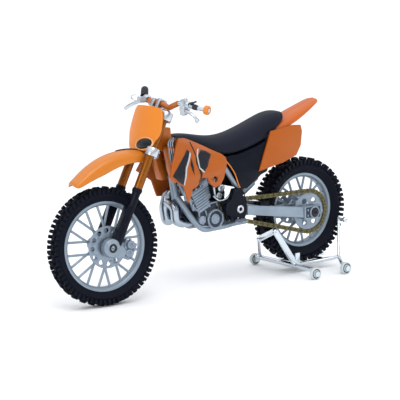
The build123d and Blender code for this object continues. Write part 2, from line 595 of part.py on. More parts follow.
def make_tail():
    """Side plates and rear fender."""
    def band(x, inset):
        lean = 0.02 * (x + 60)
        return [(10.9 + lean - inset, 50.0), (9.9 + lean - inset, 66.0), (8.6 + lean - inset, 82.0)]
    rings = []
    for x in (-20.0, -60.0):
        rings.append((x, band(x, 0.0) + band(x, 1.1)[::-1]))
    plate = slab(SIDE_PLATE, 0, 20) & skin(rings)
    room = pieces_room(["airbox", "seat", "muffler"])
    keep("side_plate_left", cut(plate, room))
    keep("side_plate_right", cut(mirror(plate, about=Plane.XZ), room))
    def ring(x, top, half, drop, wall):
        outer = [(half, top - drop), (half * 0.92, top - drop * 0.35), (half * 0.5, top)]
        inner = [(half - wall, top - drop), (half * 0.92 - wall, top - drop * 0.35 - wall * 0.6), (half * 0.5, top - wall)]
        return (x, outer + [(-y, z) for y, z in reversed(outer)] + [(-y, z) for y, z in inner] + inner[::-1])
    fender = skin([ring(-40.0, 79.6, 7.4, 3.0, 1.1), ring(-48.0, 83.6, 7.6, 6.2, 1.1), ring(-56.0, 87.2, 7.2, 6.4, 1.1),
                   ring(-63.0, 89.8, 6.4, 4.6, 1.1), ring(-71.4, 90.6, 4.6, 2.0, 1.1)])
    keep("rear_fender", cut(fender, pieces_room(["seat", "airbox", "side_plate_left", "side_plate_right"])))
    rail = rod((-34.0, 6.0, 71.5), (-46.0, 5.6, 76.4), 1.1)
    keep("subframe", cut(group(both_sides(rail)), pieces_room(["airbox", "seat", "rear_fender"])))


# ---------------------------------------------------------------- swingarm, chain, shock
def make_swingarm():
    bar = slab([(-17.6, 41.0), (-17.6, 36.2), (-54.7, 30.2), (-55.0, 29.0), (-66.2, 28.6), (-66.6, 35.4),
                (-55.0, 35.6)], SWING_IN, SWING_OUT)
    cross = block((-26.5, -SWING_IN - 0.1, 35.4), (-18.4, SWING_IN + 0.1, 39.4))
    tongue = [block((-20.0, -5.6, 36.6), (-12.0, 5.6, 42.4)), disc_y(2.9, -5.6, 5.6, *PIVOT),
              disc_y(1.8, -9.3, 9.3, *PIVOT)]
    axle_room = disc_y(AXLE_R + 0.2 + 0.02, -20, 20, REAR_X, REAR_AXLE_Z)
    arm = cut(join(both_sides(bar), cross, tongue), axle_room, chain_loop(0.25, wide=0.3))
    keep("swingarm", cut(arm, pieces_room(["engine_cases", "pivot_plates", "frame_cradle"])))
    end = SWING_OUT + 1.4
    axle = [disc_y(AXLE_R, -SWING_IN, SWING_IN, REAR_X, REAR_AXLE_Z),
            disc_y(AXLE_R + 0.2, SWING_IN - 0.3, end, REAR_X, REAR_AXLE_Z),
            disc_y(AXLE_R + 0.2, -end, 0.3 - SWING_IN, REAR_X, REAR_AXLE_Z)]
    nuts = [disc_y(2.2, y, y + 0.9, REAR_X, REAR_AXLE_Z) for y in (SWING_OUT + 0.02, -SWING_OUT - 0.92)]
    hollow = disc_y(0.6, end - 2.0, end + 1, REAR_X, REAR_AXLE_Z)
    keep("rear_axle", cut(join(axle, nuts), hollow))
    slider = block((-32.0, SWING_IN + 0.2, 38.0), (-26.2, SWING_OUT - 0.4, 41.6))
    keep("chain_slider", cut(slider, pieces_room(["swingarm"])))


def tangent_band(reach_front, reach_rear):
    """Side-view region wrapped round the front and rear chain wheels."""
    dx, dz = REAR_X - DRIVE[0], REAR_AXLE_Z - DRIVE[1]
    span = hypot(dx, dz)
    base = atan2(dz, dx)
    side = pi / 2 + atan2(reach_front - reach_rear, sqrt(span ** 2 - (reach_front - reach_rear) ** 2))
    side = pi - side
    corners = []
    for sign in (1, -1):
        a = base + sign * side
        corners.append(((DRIVE[0] + reach_front * cos(a), DRIVE[1] + reach_front * sin(a)),
                        (REAR_X + reach_rear * cos(a), REAR_AXLE_Z + reach_rear * sin(a))))
    front_tip = (DRIVE[0] - reach_front * cos(base), DRIVE[1] - reach_front * sin(base))
    rear_tip = (REAR_X + reach_rear * cos(base), REAR_AXLE_Z + reach_rear * sin(base))
    return corners, front_tip, rear_tip


def chain_solid(reach_front, reach_rear, low_y, high_y):
    corners, front_tip, rear_tip = tangent_band(reach_front, reach_rear)
    at = lambda p: (p[0], low_y, p[1])
    (f1, r1), (f2, r2) = corners
    edges = [Line(at(f1), at(r1)), ThreePointArc(at(r1), at(rear_tip), at(r2)), Line(at(r2), at(f2)),
             ThreePointArc(at(f2), at(front_tip), at(f1))]
    return extrude(make_face(Wire(edges)), amount=high_y - low_y, dir=(0, 1, 0))


def chain_loop(extra, wide=0.0):
    inner = SPROCKET_R + GAP
    low, high = CHAIN_Y[0] - wide, CHAIN_Y[1] + wide
    outer_band = chain_solid(DRIVE_R + CHAIN_H + extra, inner + CHAIN_H + extra, low, high)
    return cut(outer_band, chain_solid(DRIVE_R - extra, inner - extra, low - 1, high + 1))


def make_chain():
    room = pieces_room(["engine_cases", "pivot_plates"])
    keep("drive_chain", cut(chain_loop(0.0), room))
    keep("drive_sprocket", cut(disc_y(DRIVE_R - SEAT, 7.3, 8.2, *DRIVE), room))


def make_shock():
    body = join(rod((-19.4, 0, 43.3), (-33.0, 0, 52.4), 1.6), rod((-21.0, 0, 44.4), (-30.0, 0, 50.4), 2.4))
    keep("shock_absorber", cut(body, pieces_room(["airbox", "swingarm"])))


def make_small_pieces():
    """Footpegs, rear caliper, brake pedal, kick-starter and the two cables at the neck."""
    peg = block((-13.0, 12.4, 33.8), (-9.2, 18.5, 35.2))
    keep("footpegs", cut(group(both_sides(peg)), pieces_room(["pivot_plates"])))
    grip_low, grip_high = REAR_DISC[0] - GAP, REAR_DISC[1] + GAP
    body = join(block((-53.0, -SWING_IN + 0.02, 34.4), (-47.0, -5.9, 40.0)),
                block((-53.5, -SWING_IN + 0.02, 33.2), (-48.0, -7.9, 35.0)))
    slot = disc_y(8.6 + 0.4, grip_low, grip_high, REAR_X, REAR_AXLE_Z)
    keep("rear_caliper", cut(body, slot, pieces_room(["swingarm"])))
    hoses = []
    for back in (0.0, 1.3, 2.6):
        route = [(22.8 - back, 3.0, 77.6), (27.2 - back, 6.8, 76.2), (27.6 - back, 9.0, 71.0), (26.2 - back, 9.0, 65.6)]
        hoses.append(tube_along(route, 0.45, [2.4, 5.0]))
    keep("control_cables", cut(group(hoses), pieces_room(["frame_neck", "fuel_tank", "radiators", "shroud_left"])))


# ---------------------------------------------------------------- stand
HOOP = [(-50.6, 9.4, 6.0), (-37.6, 9.2, 24.9), (-34.2, 0.0, 19.6), (-51.0, -19.6, 5.2)]


def make_stand():
    """Trolley of rods and strips on four rollers that carries the rear wheel."""
    arm_y = ROLLER_Y - ROLLER_W / 2 - GAP - 0.5
    front = rod((ROLLER_X[0], -arm_y, RAIL_Z), (ROLLER_X[0], arm_y, RAIL_Z), 1.25)
    under = rod((ROLLER_X[1], -RAIL_Y, RAIL_Z), (ROLLER_X[1], RAIL_Y, RAIL_Z), 1.25)
    base = [front, under]
    rail_end = -83.4
    for s in (1, -1):
        base.append(rod((ROLLER_X[0], s * RAIL_Y, RAIL_Z), (rail_end, s * RAIL_Y, RAIL_Z), STAND_ROD_R))
        base.append(rod((rail_end, s * RAIL_Y, RAIL_Z), (ROLLER_X[1] - 0.3, s * (arm_y - 0.8), RAIL_Z - 0.4), STAND_ROD_R))
        base.append(rod((rail_end, s * RAIL_Y, RAIL_Z - 0.9), (rail_end, s * RAIL_Y, 26.2), 0.85))
        for x in ROLLER_X:
            bracket = block((x - 1.3, s * arm_y - 0.5, ROLLER_R - 1.2), (x + 1.3, s * arm_y + 0.5, RAIL_Z + 1.1))
            stub = disc_y(0.8, min(s * arm_y, s * (ROLLER_Y + 1.9)), max(s * arm_y, s * (ROLLER_Y + 1.9)), x, ROLLER_R)
            head_y = s * (ROLLER_Y + ROLLER_W / 2 + 0.3)
            head = disc_y(1.5, min(head_y, head_y + s * 0.6), max(head_y, head_y + s * 0.6), x, ROLLER_R)
            base += [bracket, stub, head]
        pin_y = s * (RAIL_Y + 5.0)
        base.append(disc_y(0.6, min(s * RAIL_Y, pin_y), max(s * RAIL_Y, pin_y), rail_end, 25.4))
        base.append(Pos(rail_end, pin_y, 25.4) * Sphere(1.5))
    base = join(base)
    keep("stand_base", base)
    hoop = [flat_bar(HOOP[0], HOOP[1], 3.0, 1.3, (0.9, 0, -0.45)), flat_bar(HOOP[1], HOOP[2], 3.0, 1.3, (0, 0, 1)),
            rod(HOOP[2], HOOP[3], 0.8), Pos(*HOOP[1]) * Sphere(1.2), Pos(*HOOP[2]) * Sphere(1.2)]
    tab = block((-53.9, 8.6, RAIL_Z + 0.6), (-51.1, 9.6, 11.4))
    keep("stand_hoop", cut(join(hoop, tab), base))


def make_rollers():
    for end, x in zip(("front", "rear"), ROLLER_X):
        for side, s in (("left", 1), ("right", -1)):
            middle = s * ROLLER_Y
            wheel = disc_y(ROLLER_R, middle - ROLLER_W / 2, middle + ROLLER_W / 2, x, ROLLER_R)
            keep("roller_" + end + "_" + side, cut(wheel, disc_y(0.8 + RUN, -40, 40, x, ROLLER_R)))


def build_all():
    make_wheels()
    make_fork()
    make_bars()
    make_front_fender()
    make_number_plate()
    make_frame()
    make_engine()
    make_exhaust()
    make_radiators()
    make_side_panels()
    make_tank()
    make_seat()
    make_airbox()
    make_tail()
    make_swingarm()
    make_chain()
    make_shock()
    make_small_pieces()
    make_stand()
    make_rollers()


build_all()
os.makedirs("parts", exist_ok=True)
for node, shape in pieces.items():
    export_step(shape, "parts/" + node + ".step")
print(len(pieces), "nodes written")
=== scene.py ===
# %% [markdown]
# # A toy motocross bike in its paddock stand
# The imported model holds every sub-part at its real size: about 180 mm from the front tyre to the stand's
# posts. This lesson dresses it. Metal and plastic parts that already have the right shape keep their own
# mesh and get a finish; tyres, seat, fenders and chain are built again here, finer, in the same places.

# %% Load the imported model
import bpy
import json
from math import acos, atan2, ceil, cos, degrees, hypot, pi, radians, sin, sqrt
from mathutils import Matrix, Vector
from mathutils.bvhtree import BVHTree
from mathutils.geometry import delaunay_2d_cdt


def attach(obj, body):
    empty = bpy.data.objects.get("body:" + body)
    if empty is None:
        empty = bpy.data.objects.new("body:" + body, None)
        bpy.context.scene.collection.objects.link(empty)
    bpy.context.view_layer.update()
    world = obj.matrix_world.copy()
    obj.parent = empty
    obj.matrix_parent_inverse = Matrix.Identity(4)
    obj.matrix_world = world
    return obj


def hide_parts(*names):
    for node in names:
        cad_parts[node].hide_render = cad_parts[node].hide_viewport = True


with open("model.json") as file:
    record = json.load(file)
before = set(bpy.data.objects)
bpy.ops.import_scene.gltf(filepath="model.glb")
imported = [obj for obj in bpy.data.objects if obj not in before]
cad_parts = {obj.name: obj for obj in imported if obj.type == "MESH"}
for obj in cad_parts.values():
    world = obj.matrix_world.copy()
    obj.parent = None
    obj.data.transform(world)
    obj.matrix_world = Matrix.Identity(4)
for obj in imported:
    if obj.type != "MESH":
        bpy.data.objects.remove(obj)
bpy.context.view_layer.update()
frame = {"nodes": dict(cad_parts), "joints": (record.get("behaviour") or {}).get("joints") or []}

# %% [markdown]
# Lengths below are in millimetres, because that is how the toy was drawn; one factor turns them to metres.
# The wheels' centres and the steering axis are read from the joints, so that pieces built here can't drift
# away from the parts that they belong to.

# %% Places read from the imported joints
MM = 0.001
joints = {joint["name"]: joint for joint in frame["joints"]}
FRONT_CENTRE = Vector(joints["front_wheel_spin"]["pos_m"]) / MM
REAR_CENTRE = Vector(joints["rear_wheel_spin"]["pos_m"]) / MM
FRONT_SPIN = Vector(joints["front_wheel_spin"]["axis"])
STEER_POINT = Vector(joints["steering"]["pos_m"]) / MM
STEER_AXIS = Vector(joints["steering"]["axis"]).normalized()
REST_TURN = -acos(max(-1.0, min(1.0, FRONT_SPIN.y)))
# the steering axis' point nearest to the front axle
HEAD = STEER_POINT + STEER_AXIS * (FRONT_CENTRE - STEER_POINT).dot(STEER_AXIS)
FORWARD = FRONT_SPIN.cross(STEER_AXIS)
# where the front wheel's centre would be with the bars straight ahead
FRONT_STRAIGHT = HEAD + Vector((0, 1, 0)).cross(STEER_AXIS) * (FRONT_CENTRE - HEAD).length
MID_X = (FRONT_STRAIGHT.x + REAR_CENTRE.x) / 2
print("rest turn", round(degrees(REST_TURN), 2), "middle of the wheelbase at x", round(MID_X, 2))

# %% [markdown]
# Most shapes are given about the floor point midway between the axles, which is not quite the middle of
# the overall length. Pieces that steer are drawn straight ahead and then turned with the bars. Three small
# functions do this, and most later pieces name their corners through one of them.

# %% Three ways to name a place
def spot(x, y, z):
    """A point given about mid-wheelbase, in the model's own frame, still in millimetres."""
    return Vector((x + MID_X, y, z))


def turned(x, y, z):
    """The same for a piece that steers: drawn straight ahead, then turned with the bars."""
    return HEAD + Matrix.Rotation(REST_TURN, 3, STEER_AXIS) @ (spot(x, y, z) - HEAD)


def fork(w, y, u):
    """A point in the fork's own directions: w forward of the steering axis, u up along it."""
    return HEAD + FORWARD * w + FRONT_SPIN * y + STEER_AXIS * u


print("front axle is", round((FRONT_CENTRE - HEAD).length, 2), "mm ahead of the steering axis")

# %% [markdown]
# ## Camera, floor and light
# A long lens well back gives the flat view of a catalogue picture. The three angles turn the camera round
# the object, up, and a little to one side; the matrix is put together from the camera's own three axes.

# %% Camera
AZIMUTH, ELEVATION, ROLL = radians(143.0957), radians(9.8768), radians(-0.9946)
CAMERA_PLACE = spot(507.470, 671.711, 190.926)
camera_data = bpy.data.cameras.new("camera")
camera = bpy.data.objects.new("camera", camera_data)
bpy.context.scene.collection.objects.link(camera)
right = Vector((cos(AZIMUTH), sin(AZIMUTH), 0))
back = Vector((sin(AZIMUTH) * cos(ELEVATION), -cos(AZIMUTH) * cos(ELEVATION), sin(ELEVATION)))
up = back.cross(right)
rolled_right = right * cos(ROLL) + up * sin(ROLL)
rolled_up = up * cos(ROLL) - right * sin(ROLL)
axes = Matrix((rolled_right, rolled_up, back)).transposed().to_4x4()
camera.matrix_world = Matrix.Translation(CAMERA_PLACE * MM) @ axes
camera_data.lens = 153.43
camera_data.clip_start = 0.05
camera_data.clip_end = 20.0
bpy.context.scene.camera = camera
print("camera", [round(c, 3) for c in camera.location])

# %% [markdown]
# A finish is a small tree of nodes. Writing `nodes.new` and `links.new` for each would hide what the
# finish is, so one function adds a node with its settings and its links.

# %% Colours and the node helper
def colour(code):
    """An sRGB hex colour as the linear values that Blender works in."""
    parts = [int(code[i:i + 2], 16) / 255 for i in (1, 3, 5)]
    linear = [c / 12.92 if c <= 0.04045 else ((c + 0.055) / 1.055) ** 2.4 for c in parts]
    return (*linear, 1.0)


def add(material, kind, links=None, **settings):
    """Add one node. Settings name its inputs or its own properties; links join inputs to other outputs."""
    node = material.node_tree.nodes.new("ShaderNode" + kind)
    for name, value in settings.items():
        label = name.replace("_", " ")
        if label in node.inputs:
            node.inputs[label].default_value = value
        else:
            setattr(node, name, value)
    for name, output in (links or {}).items():
        material.node_tree.links.new(output, node.inputs[name])
    return node


def new_material(name):
    material = bpy.data.materials.new(name)
    material.use_nodes = True
    material.node_tree.nodes.clear()
    return material


print("white becomes", colour("#FFFFFF"))

# %% [markdown]
# The toy stands on white paper. A flat sheet is the floor, and a low ring of the same paper stands far
# off, so that a view from near the ground ends in white as well.

# %% Floor and backdrop
FLOOR_HALF, RING_RADIUS, RING_HEIGHT, RING_SIDES = 3000, 2900, 480, 96
paper = new_material("white_paper")
shader = add(paper, "BsdfPrincipled", Base_Color=colour("#FBFCFD"), Roughness=0.9)
add(paper, "OutputMaterial", {"Surface": shader.outputs[0]})


def stage_sheet(name, points, faces):
    mesh = bpy.data.meshes.new(name)
    mesh.from_pydata([Vector(p) * MM for p in points], [], faces)
    mesh.materials.append(paper)
    sheet = bpy.data.objects.new(name, mesh)
    bpy.context.scene.collection.objects.link(sheet)


corners = [(-1, -1), (1, -1), (1, 1), (-1, 1)]
stage_sheet("floor", [(x * FLOOR_HALF, y * FLOOR_HALF, 0) for x, y in corners], [(0, 1, 2, 3)])
turns = [2 * pi * k / RING_SIDES for k in range(RING_SIDES)]
ring = [(RING_RADIUS * cos(a), RING_RADIUS * sin(a), z) for z in (0, RING_HEIGHT) for a in turns]
following = [(k + 1) % RING_SIDES for k in range(RING_SIDES)]
walls = [(k, n, RING_SIDES + n, RING_SIDES + k) for k, n in enumerate(following)]
stage_sheet("backdrop", ring, walls)
print("floor", 2 * FLOOR_HALF / 1000, "m wide, backdrop of", RING_SIDES, "panels")

# %% [markdown]
# The world stands for a wide soft box overhead: bright at the top, dimmer towards the horizon. Upright
# panels then keep their depth of colour while the paper stays white. A gradient by height does that with
# three nodes. Three weak panel lights add soft highlights from above, from ahead and from behind.

# %% World and panel lights
world = bpy.data.worlds.new("studio")
bpy.context.scene.world = world
world.use_nodes = True
sky = world.node_tree
height = add(world, "SeparateXYZ", {"Vector": add(world, "TexCoord").outputs["Generated"]})
glow = add(world, "MapRange", {"Value": height.outputs["Z"]}, From_Min=0.0, From_Max=0.9, To_Min=0.16,
           To_Max=1.55)
sky.nodes["Background"].inputs["Color"].default_value = colour("#FBFCFF")
sky.links.new(glow.outputs["Result"], sky.nodes["Background"].inputs["Strength"])


def panel_light(name, place, size, watts):
    data = bpy.data.lights.new(name, "AREA")
    data.size = size * MM
    data.energy = watts
    lamp = bpy.data.objects.new(name, data)
    bpy.context.scene.collection.objects.link(lamp)
    lamp.location = Vector(place) * MM
    lamp.rotation_mode = "QUATERNION"
    lamp.rotation_quaternion = (Vector((0, 0, 50)) - Vector(place)).to_track_quat("-Z", "Y")


panel_light("key_light", (220, 420, 620), 360, 1.3)
panel_light("front_light", (620, 160, 200), 200, 0.6)
panel_light("rear_light", (-450, 300, 420), 200, 0.35)
bpy.context.scene.view_settings.view_transform = "Standard"
print("lights:", len(bpy.data.lights))

# %% [markdown]
# ## Finishes
# Each finish begins with what the toy is made of. The body panels are moulded ABS with a glossy skin, the
# castings are zinc under a thin silver paint, the tyres and the seat are soft dark vinyl, the stand is
# chrome-plated. All share one build: the colour drifts slowly over the part, and a fine grain changes the
# roughness and lifts the surface. Only the sizes and the shader's own values differ, so one function
# makes the tree, and the families below fill it in.

# %% The tree that all finishes share
def grained_finish(name, dark, pale, rough, drift_mm, grain_mm, grain_depth, **shader_settings):
    """rough is the lowest and highest roughness; sizes are real ones in millimetres."""
    material = new_material(name)
    place = add(material, "TexCoord").outputs["Object"]
    drift = add(material, "TexNoise", {"Vector": place}, Scale=1.0 / (drift_mm * MM), Detail=3.0)
    grain = add(material, "TexNoise", {"Vector": place}, Scale=1.0 / (grain_mm * MM), Detail=3.0)
    tone = add(material, "Mix", {"Factor": drift.outputs["Fac"]}, data_type="RGBA")
    # a colour mix keeps its two colours in its seventh and eighth inputs
    tone.inputs[6].default_value = colour(dark)
    tone.inputs[7].default_value = colour(pale)
    gloss = add(material, "MapRange", {"Value": grain.outputs["Fac"]}, To_Min=rough[0], To_Max=rough[1])
    bumps = add(material, "Bump", {"Height": grain.outputs["Fac"]}, Strength=0.7, Distance=grain_depth * MM)
    joins = {"Base Color": tone.outputs[2], "Roughness": gloss.outputs["Result"],
             "Normal": bumps.outputs["Normal"]}
    shader = add(material, "BsdfPrincipled", joins, **shader_settings)
    add(material, "OutputMaterial", {"Surface": shader.outputs[0]})
    return material


# %% [markdown]
# Moulded ABS: a hard, glossy plastic with an IOR near 1.54. The mould leaves a very fine ripple, drawn
# here at a third of a millimetre so that it shows, and the colour drifts a little over a panel. What the
# eye reads as "toy plastic" is the soft, wide highlight, so the roughness stays between 0.25 and 0.4. A
# panel of a slightly different orange gets its own pair of colours.

# %% Orange, black and pale ABS, printed film and a painted highlight
def moulded_plastic(name, dark, pale, rough, grain_mm=0.35, grain_depth=0.006, coat=0.0, shine=0.35):
    return grained_finish(name, dark, pale, (rough - 0.05, rough + 0.07), 18.0, grain_mm, grain_depth,
                          IOR=1.54, Coat_Weight=coat, Coat_Roughness=0.12, Specular_IOR_Level=shine)


orange_abs = moulded_plastic("orange_abs", "#A04C06", "#AE580C", 0.34, coat=0.08, shine=0.28)
rear_fender_abs = moulded_plastic("rear_fender_abs", "#B4520A", "#C05E12", 0.34, coat=0.08)
front_fender_abs = moulded_plastic("front_fender_abs", "#BE6C10", "#CA7618", 0.30, coat=0.2)
bright_orange_abs = moulded_plastic("bright_orange_abs", "#D07414", "#DA8122", 0.34, coat=0.10)
black_abs = moulded_plastic("black_abs", "#010410", "#050A1A", 0.38, grain_mm=0.5, grain_depth=0.012,
                            shine=0.13)
gloss_black = moulded_plastic("gloss_black", "#06070C", "#0B0D14", 0.25)
roller_abs = moulded_plastic("pale_roller_abs", "#B4C0C2", "#CBD5D6", 0.38)
decal_black = moulded_plastic("decal_black", "#0B0E17", "#131722", 0.30, shine=0.3)
# painted highlight: a pale film for the bright line along the shroud's bevelled edges
edge_highlight_film = moulded_plastic("painted_edge_highlight", "#AEB2B6", "#C4C8CB", 0.30)
pale_edge = moulded_plastic("pale_orange_edge", "#D39A62", "#E0AE7C", 0.32)
print("materials so far:", len(bpy.data.materials))
print("nodes in a finish:", len(orange_abs.node_tree.nodes))

# %% [markdown]
# Tyre and seat vinyl: soft PVC, almost without gloss. Roughness of 0.5 and more keeps it matt, and a grain
# of half a millimetre breaks what highlight is left. Its black is a bluish one rather than a pure one.

# %% Vinyl for tyres and seat
tyre_vinyl = moulded_plastic("tyre_vinyl", "#020612", "#080E1C", 0.66, grain_mm=0.6, grain_depth=0.03,
                             shine=0.12)
seat_vinyl = moulded_plastic("seat_vinyl", "#030818", "#0A1226", 0.50, grain_mm=0.45, grain_depth=0.03,
                             shine=0.2)
print("materials so far:", len(bpy.data.materials))

# %% [markdown]
# Zinc casting under silver paint: the metal flakes give a soft metallic glow without a mirror image. It is
# drawn as a metal with high roughness, and the flakes, really a twentieth of a millimetre across, are
# drawn at a quarter of a millimetre so that they show. Paint is less metallic than bare zinc, and enamel
# is hardly metallic at all. Chrome plate is smooth, so its grain is wide and shallow and its roughness low.

# %% Painted, bare and plated metals
def metal(name, dark, pale, rough, flake_mm=0.25, flake_depth=0.008, spread=0.08, metallic=1.0):
    return grained_finish(name, dark, pale, (rough - spread, rough + spread), 9.0, flake_mm, flake_depth,
                          Metallic=metallic)


silver_paint = metal("silver_paint", "#7E8B98", "#96A4B1", 0.42, metallic=0.75)
engine_paint = metal("engine_silver_paint", "#7C8998", "#98A5B3", 0.42, metallic=0.8)
# painted shade: a dark copy of the engine's silver paint, worn by the cases and the carburettor as the shade
# of the engine's recesses, and by the chain adjusters
engine_paint_in_shade = metal("shaded_engine_paint", "#262D36", "#3E4752", 0.50, metallic=0.6)
bright_zinc = metal("bright_zinc", "#B7BEC6", "#D2D8DE", 0.28)
chrome = metal("chrome_plate", "#C2CCD4", "#DAE1E7", 0.14, flake_mm=1.5, flake_depth=0.004, spread=0.03)
orange_enamel = metal("orange_enamel", "#A2520C", "#B86416", 0.32, metallic=0.25)
amber_anodised = metal("amber_anodised_aluminium", "#743E08", "#9A5A12", 0.26, metallic=0.7)
bronze = metal("dull_bronze", "#5C5638", "#79724C", 0.45)
pipe_steel = metal("header_pipe_steel", "#9AA6B2", "#B8C2CC", 0.24)
dark_metal = metal("dark_gunmetal", "#20242B", "#333941", 0.40, metallic=0.6)
print("materials in all:", len(bpy.data.materials))

# %% [markdown]
# ## Finishes for the parts that keep their own mesh
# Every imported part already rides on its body. It only gets a material and a small bevel: a sharp edge on
# a casting catches no light, a rounded one draws a thin bright line along it. Modifiers do this without
# touching the mesh itself.

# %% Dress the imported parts
FINISHES = {
    orange_abs: ["shroud_left", "shroud_right", "side_plate_left", "side_plate_right"],
    orange_enamel: ["frame_neck", "fuel_tank", "radiators"],
    pipe_steel: ["exhaust_pipe", "muffler"],
    amber_anodised: ["fork_tube_left", "fork_tube_right"],
    black_abs: ["airbox", "fork_leg_left", "fork_leg_right", "right_grip", "chain_slider"],
    silver_paint: ["frame_cradle", "frame_uprights", "subframe", "swingarm", "front_rim", "rear_rim",
                   "rear_sprocket", "front_disc", "rear_disc"],
    engine_paint: ["cylinder_head", "front_caliper", "rear_caliper", "shock_absorber", "drive_sprocket",
                   "control_cables"],
    engine_paint_in_shade: ["engine_cases", "carburettor"],
    bright_zinc: ["lower_clamp", "upper_clamp", "front_axle", "bar_clamps"],
    dark_metal: ["rear_axle"],
    chrome: ["stand_base", "stand_hoop"],
}
EDGE = 0.15
BEVELS = {"engine_cases": 0.4, "swingarm": 0.45, "airbox": 0.3, "side_plate_left": 0.3,
          "side_plate_right": 0.3, "shroud_left": 0.25, "shroud_right": 0.25}


def round_edges(piece, width_mm, angle=35):
    """Weld split corners, then round every edge that is sharper than the angle."""
    weld = piece.modifiers.new("weld", "WELD")
    weld.merge_threshold = 0.002 * MM
    bevel = piece.modifiers.new("bevel", "BEVEL")
    bevel.width = width_mm * MM
    bevel.segments = 2
    bevel.limit_method = "ANGLE"
    bevel.angle_limit = radians(angle)


for finish, names in FINISHES.items():
    for name in names:
        node = frame["nodes"][name]
        node.data.materials.clear()
        node.data.materials.append(finish)
        round_edges(node, BEVELS.get(name, EDGE))
        node.data.polygons.foreach_set("use_smooth", [True] * len(node.data.polygons))
        node.data.set_sharp_from_angle(angle=radians(40))
print("dressed", sum(len(names) for names in FINISHES.values()), "packed parts")

# %% [markdown]
# ## Mesh helpers
# A piece is made from points and faces. Two ideas cover almost every form here: a skin stretched over a
# row of closed rings, and a box with a taper. `make_piece` also says which body a piece rides on and which
# imported part it stands for.

# %% From points and faces to a piece
def make_piece(name, points, faces, finish, body, slot, stands_for=(), rounds=0, bevel=0.0, crease=30):
    """A mesh in millimetres that rides on a body; rounds subdivides it and bevel rounds its edges."""
    mesh = bpy.data.meshes.new(name)
    mesh.from_pydata([Vector(p) * MM for p in points], [], faces)
    mesh.validate()
    mesh.materials.append(finish)
    piece = bpy.data.objects.new(name, mesh)
    bpy.context.scene.collection.objects.link(piece)
    if bevel:
        edges = piece.modifiers.new("bevel", "BEVEL")
        edges.width = bevel * MM
        edges.segments = 2
        edges.limit_method = "ANGLE"
        edges.angle_limit = radians(crease)
    if rounds:
        surface = piece.modifiers.new("surface", "SUBSURF")
        surface.levels = rounds
        surface.render_levels = rounds
    mesh.polygons.foreach_set("use_smooth", [True] * len(mesh.polygons))
    if not rounds:
        mesh.set_sharp_from_angle(angle=radians(crease + 10))
    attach(piece, body)
    if stands_for:
        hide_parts(*stands_for)
    return piece


def skin(rings, closed=False):
    """Faces over rings of equally many points; closed joins last to first, otherwise both ends are capped."""
    count = len(rings[0])
    points = [p for ring in rings for p in ring]
    faces = []
    for i in range(len(rings) if closed else len(rings) - 1):
        a = i * count
        b = (i + 1) % len(rings) * count
        for k in range(count):
            n = (k + 1) % count
            faces.append((a + k, a + n, b + n, b + k))
    if not closed:
        faces.append(tuple(reversed(range(count))))
        faces.append(tuple((len(rings) - 1) * count + k for k in range(count)))
    return points, faces


def merged(parts):
    """Several (points, faces) pairs as one."""
    points, faces = [], []
    for more_points, more_faces in parts:
        start = len(points)
        points += list(more_points)
        faces += [tuple(start + k for k in face) for face in more_faces]
    return points, faces


square = [(-1, -1), (1, -1), (1, 1), (-1, 1)]
print("a skin over two squares has", len(skin([square, square])[1]), "faces")

# %% [markdown]
# Boxes, bars and turned forms are all written in local directions. The caller hands over a function such
# as `spot` or `turned` that says where a local point is, so the same box works on the frame, on the
# steering and round a wheel. A bent bar follows a Catmull-Rom curve: it passes through every given point,
# which makes a handlebar or a hose easy to describe.

# %% Boxes, bars and turned forms
def around(count, start=0.0):
    """Angles evenly round a circle."""
    return [start + 2 * pi * k / count for k in range(count)]


def block(corner_at, low, high, taper=0.0):
    """A box in local directions; the face at the third direction's high end shrinks by the taper."""
    mx = (low[0] + high[0]) / 2
    my = (low[1] + high[1]) / 2
    points = []
    for z, pull in ((low[2], 0.0), (high[2], taper)):
        for x, y in ((low[0], low[1]), (high[0], low[1]), (high[0], high[1]), (low[0], high[1])):
            points.append(corner_at(x + (mx - x) * pull, y + (my - y) * pull, z))
    faces = [(3, 2, 1, 0), (4, 5, 6, 7), (0, 1, 5, 4), (1, 2, 6, 5), (2, 3, 7, 6), (3, 0, 4, 7)]
    return points, faces


def round_bar(start, end, radius, sides=16):
    """A straight round bar."""
    start, end = Vector(start), Vector(end)
    axis = (end - start).normalized()
    side = axis.orthogonal().normalized()
    other = axis.cross(side)
    return skin([[middle + (side * cos(a) + other * sin(a)) * radius for a in around(sides)]
                 for middle in (start, end)])


def bent_bar(points, radius, sides=12, steps=8):
    """A round bar along a smooth curve through the points."""
    points = [Vector(p) for p in points]
    path = []
    for i in range(len(points) - 1):
        p0 = points[max(i - 1, 0)]
        p1 = points[i]
        p2 = points[i + 1]
        p3 = points[min(i + 2, len(points) - 1)]
        for t in (k / steps for k in range(steps)):
            path.append(0.5 * (2 * p1 + (p2 - p0) * t + (2 * p0 - 5 * p1 + 4 * p2 - p3) * t ** 2
                               + (3 * p1 - p0 - 3 * p2 + p3) * t ** 3))
    path.append(points[-1])
    rings = []
    side = (path[1] - path[0]).orthogonal().normalized()
    for i, p in enumerate(path):
        run = (path[min(i + 1, len(path) - 1)] - path[max(i - 1, 0)]).normalized()
        side = (side - run * side.dot(run)).normalized()
        other = run.cross(side)
        rings.append([p + (side * cos(a) + other * sin(a)) * radius for a in around(sides)])
    return skin(rings)


def turned_ring(centre, axis, outline, sides=96):
    """Turn a closed outline of (radius, along the axis) round an axis."""
    centre, axis = Vector(centre), Vector(axis).normalized()
    side = (Vector((1, 0, 0)) - axis * axis.x).normalized()
    other = axis.cross(side)
    rings = []
    for a in around(sides):
        out = side * cos(a) + other * sin(a)
        rings.append([centre + out * r + axis * y for r, y in outline])
    return skin(rings, closed=True)


def turned_form(start, end, profile, sides=32):
    """Turn a closed (radius, share of the way) profile about the line from start to end."""
    start, end = Vector(start), Vector(end)
    length = (end - start).length
    return turned_ring(start, end - start, [(r, share * length) for r, share in profile], sides)


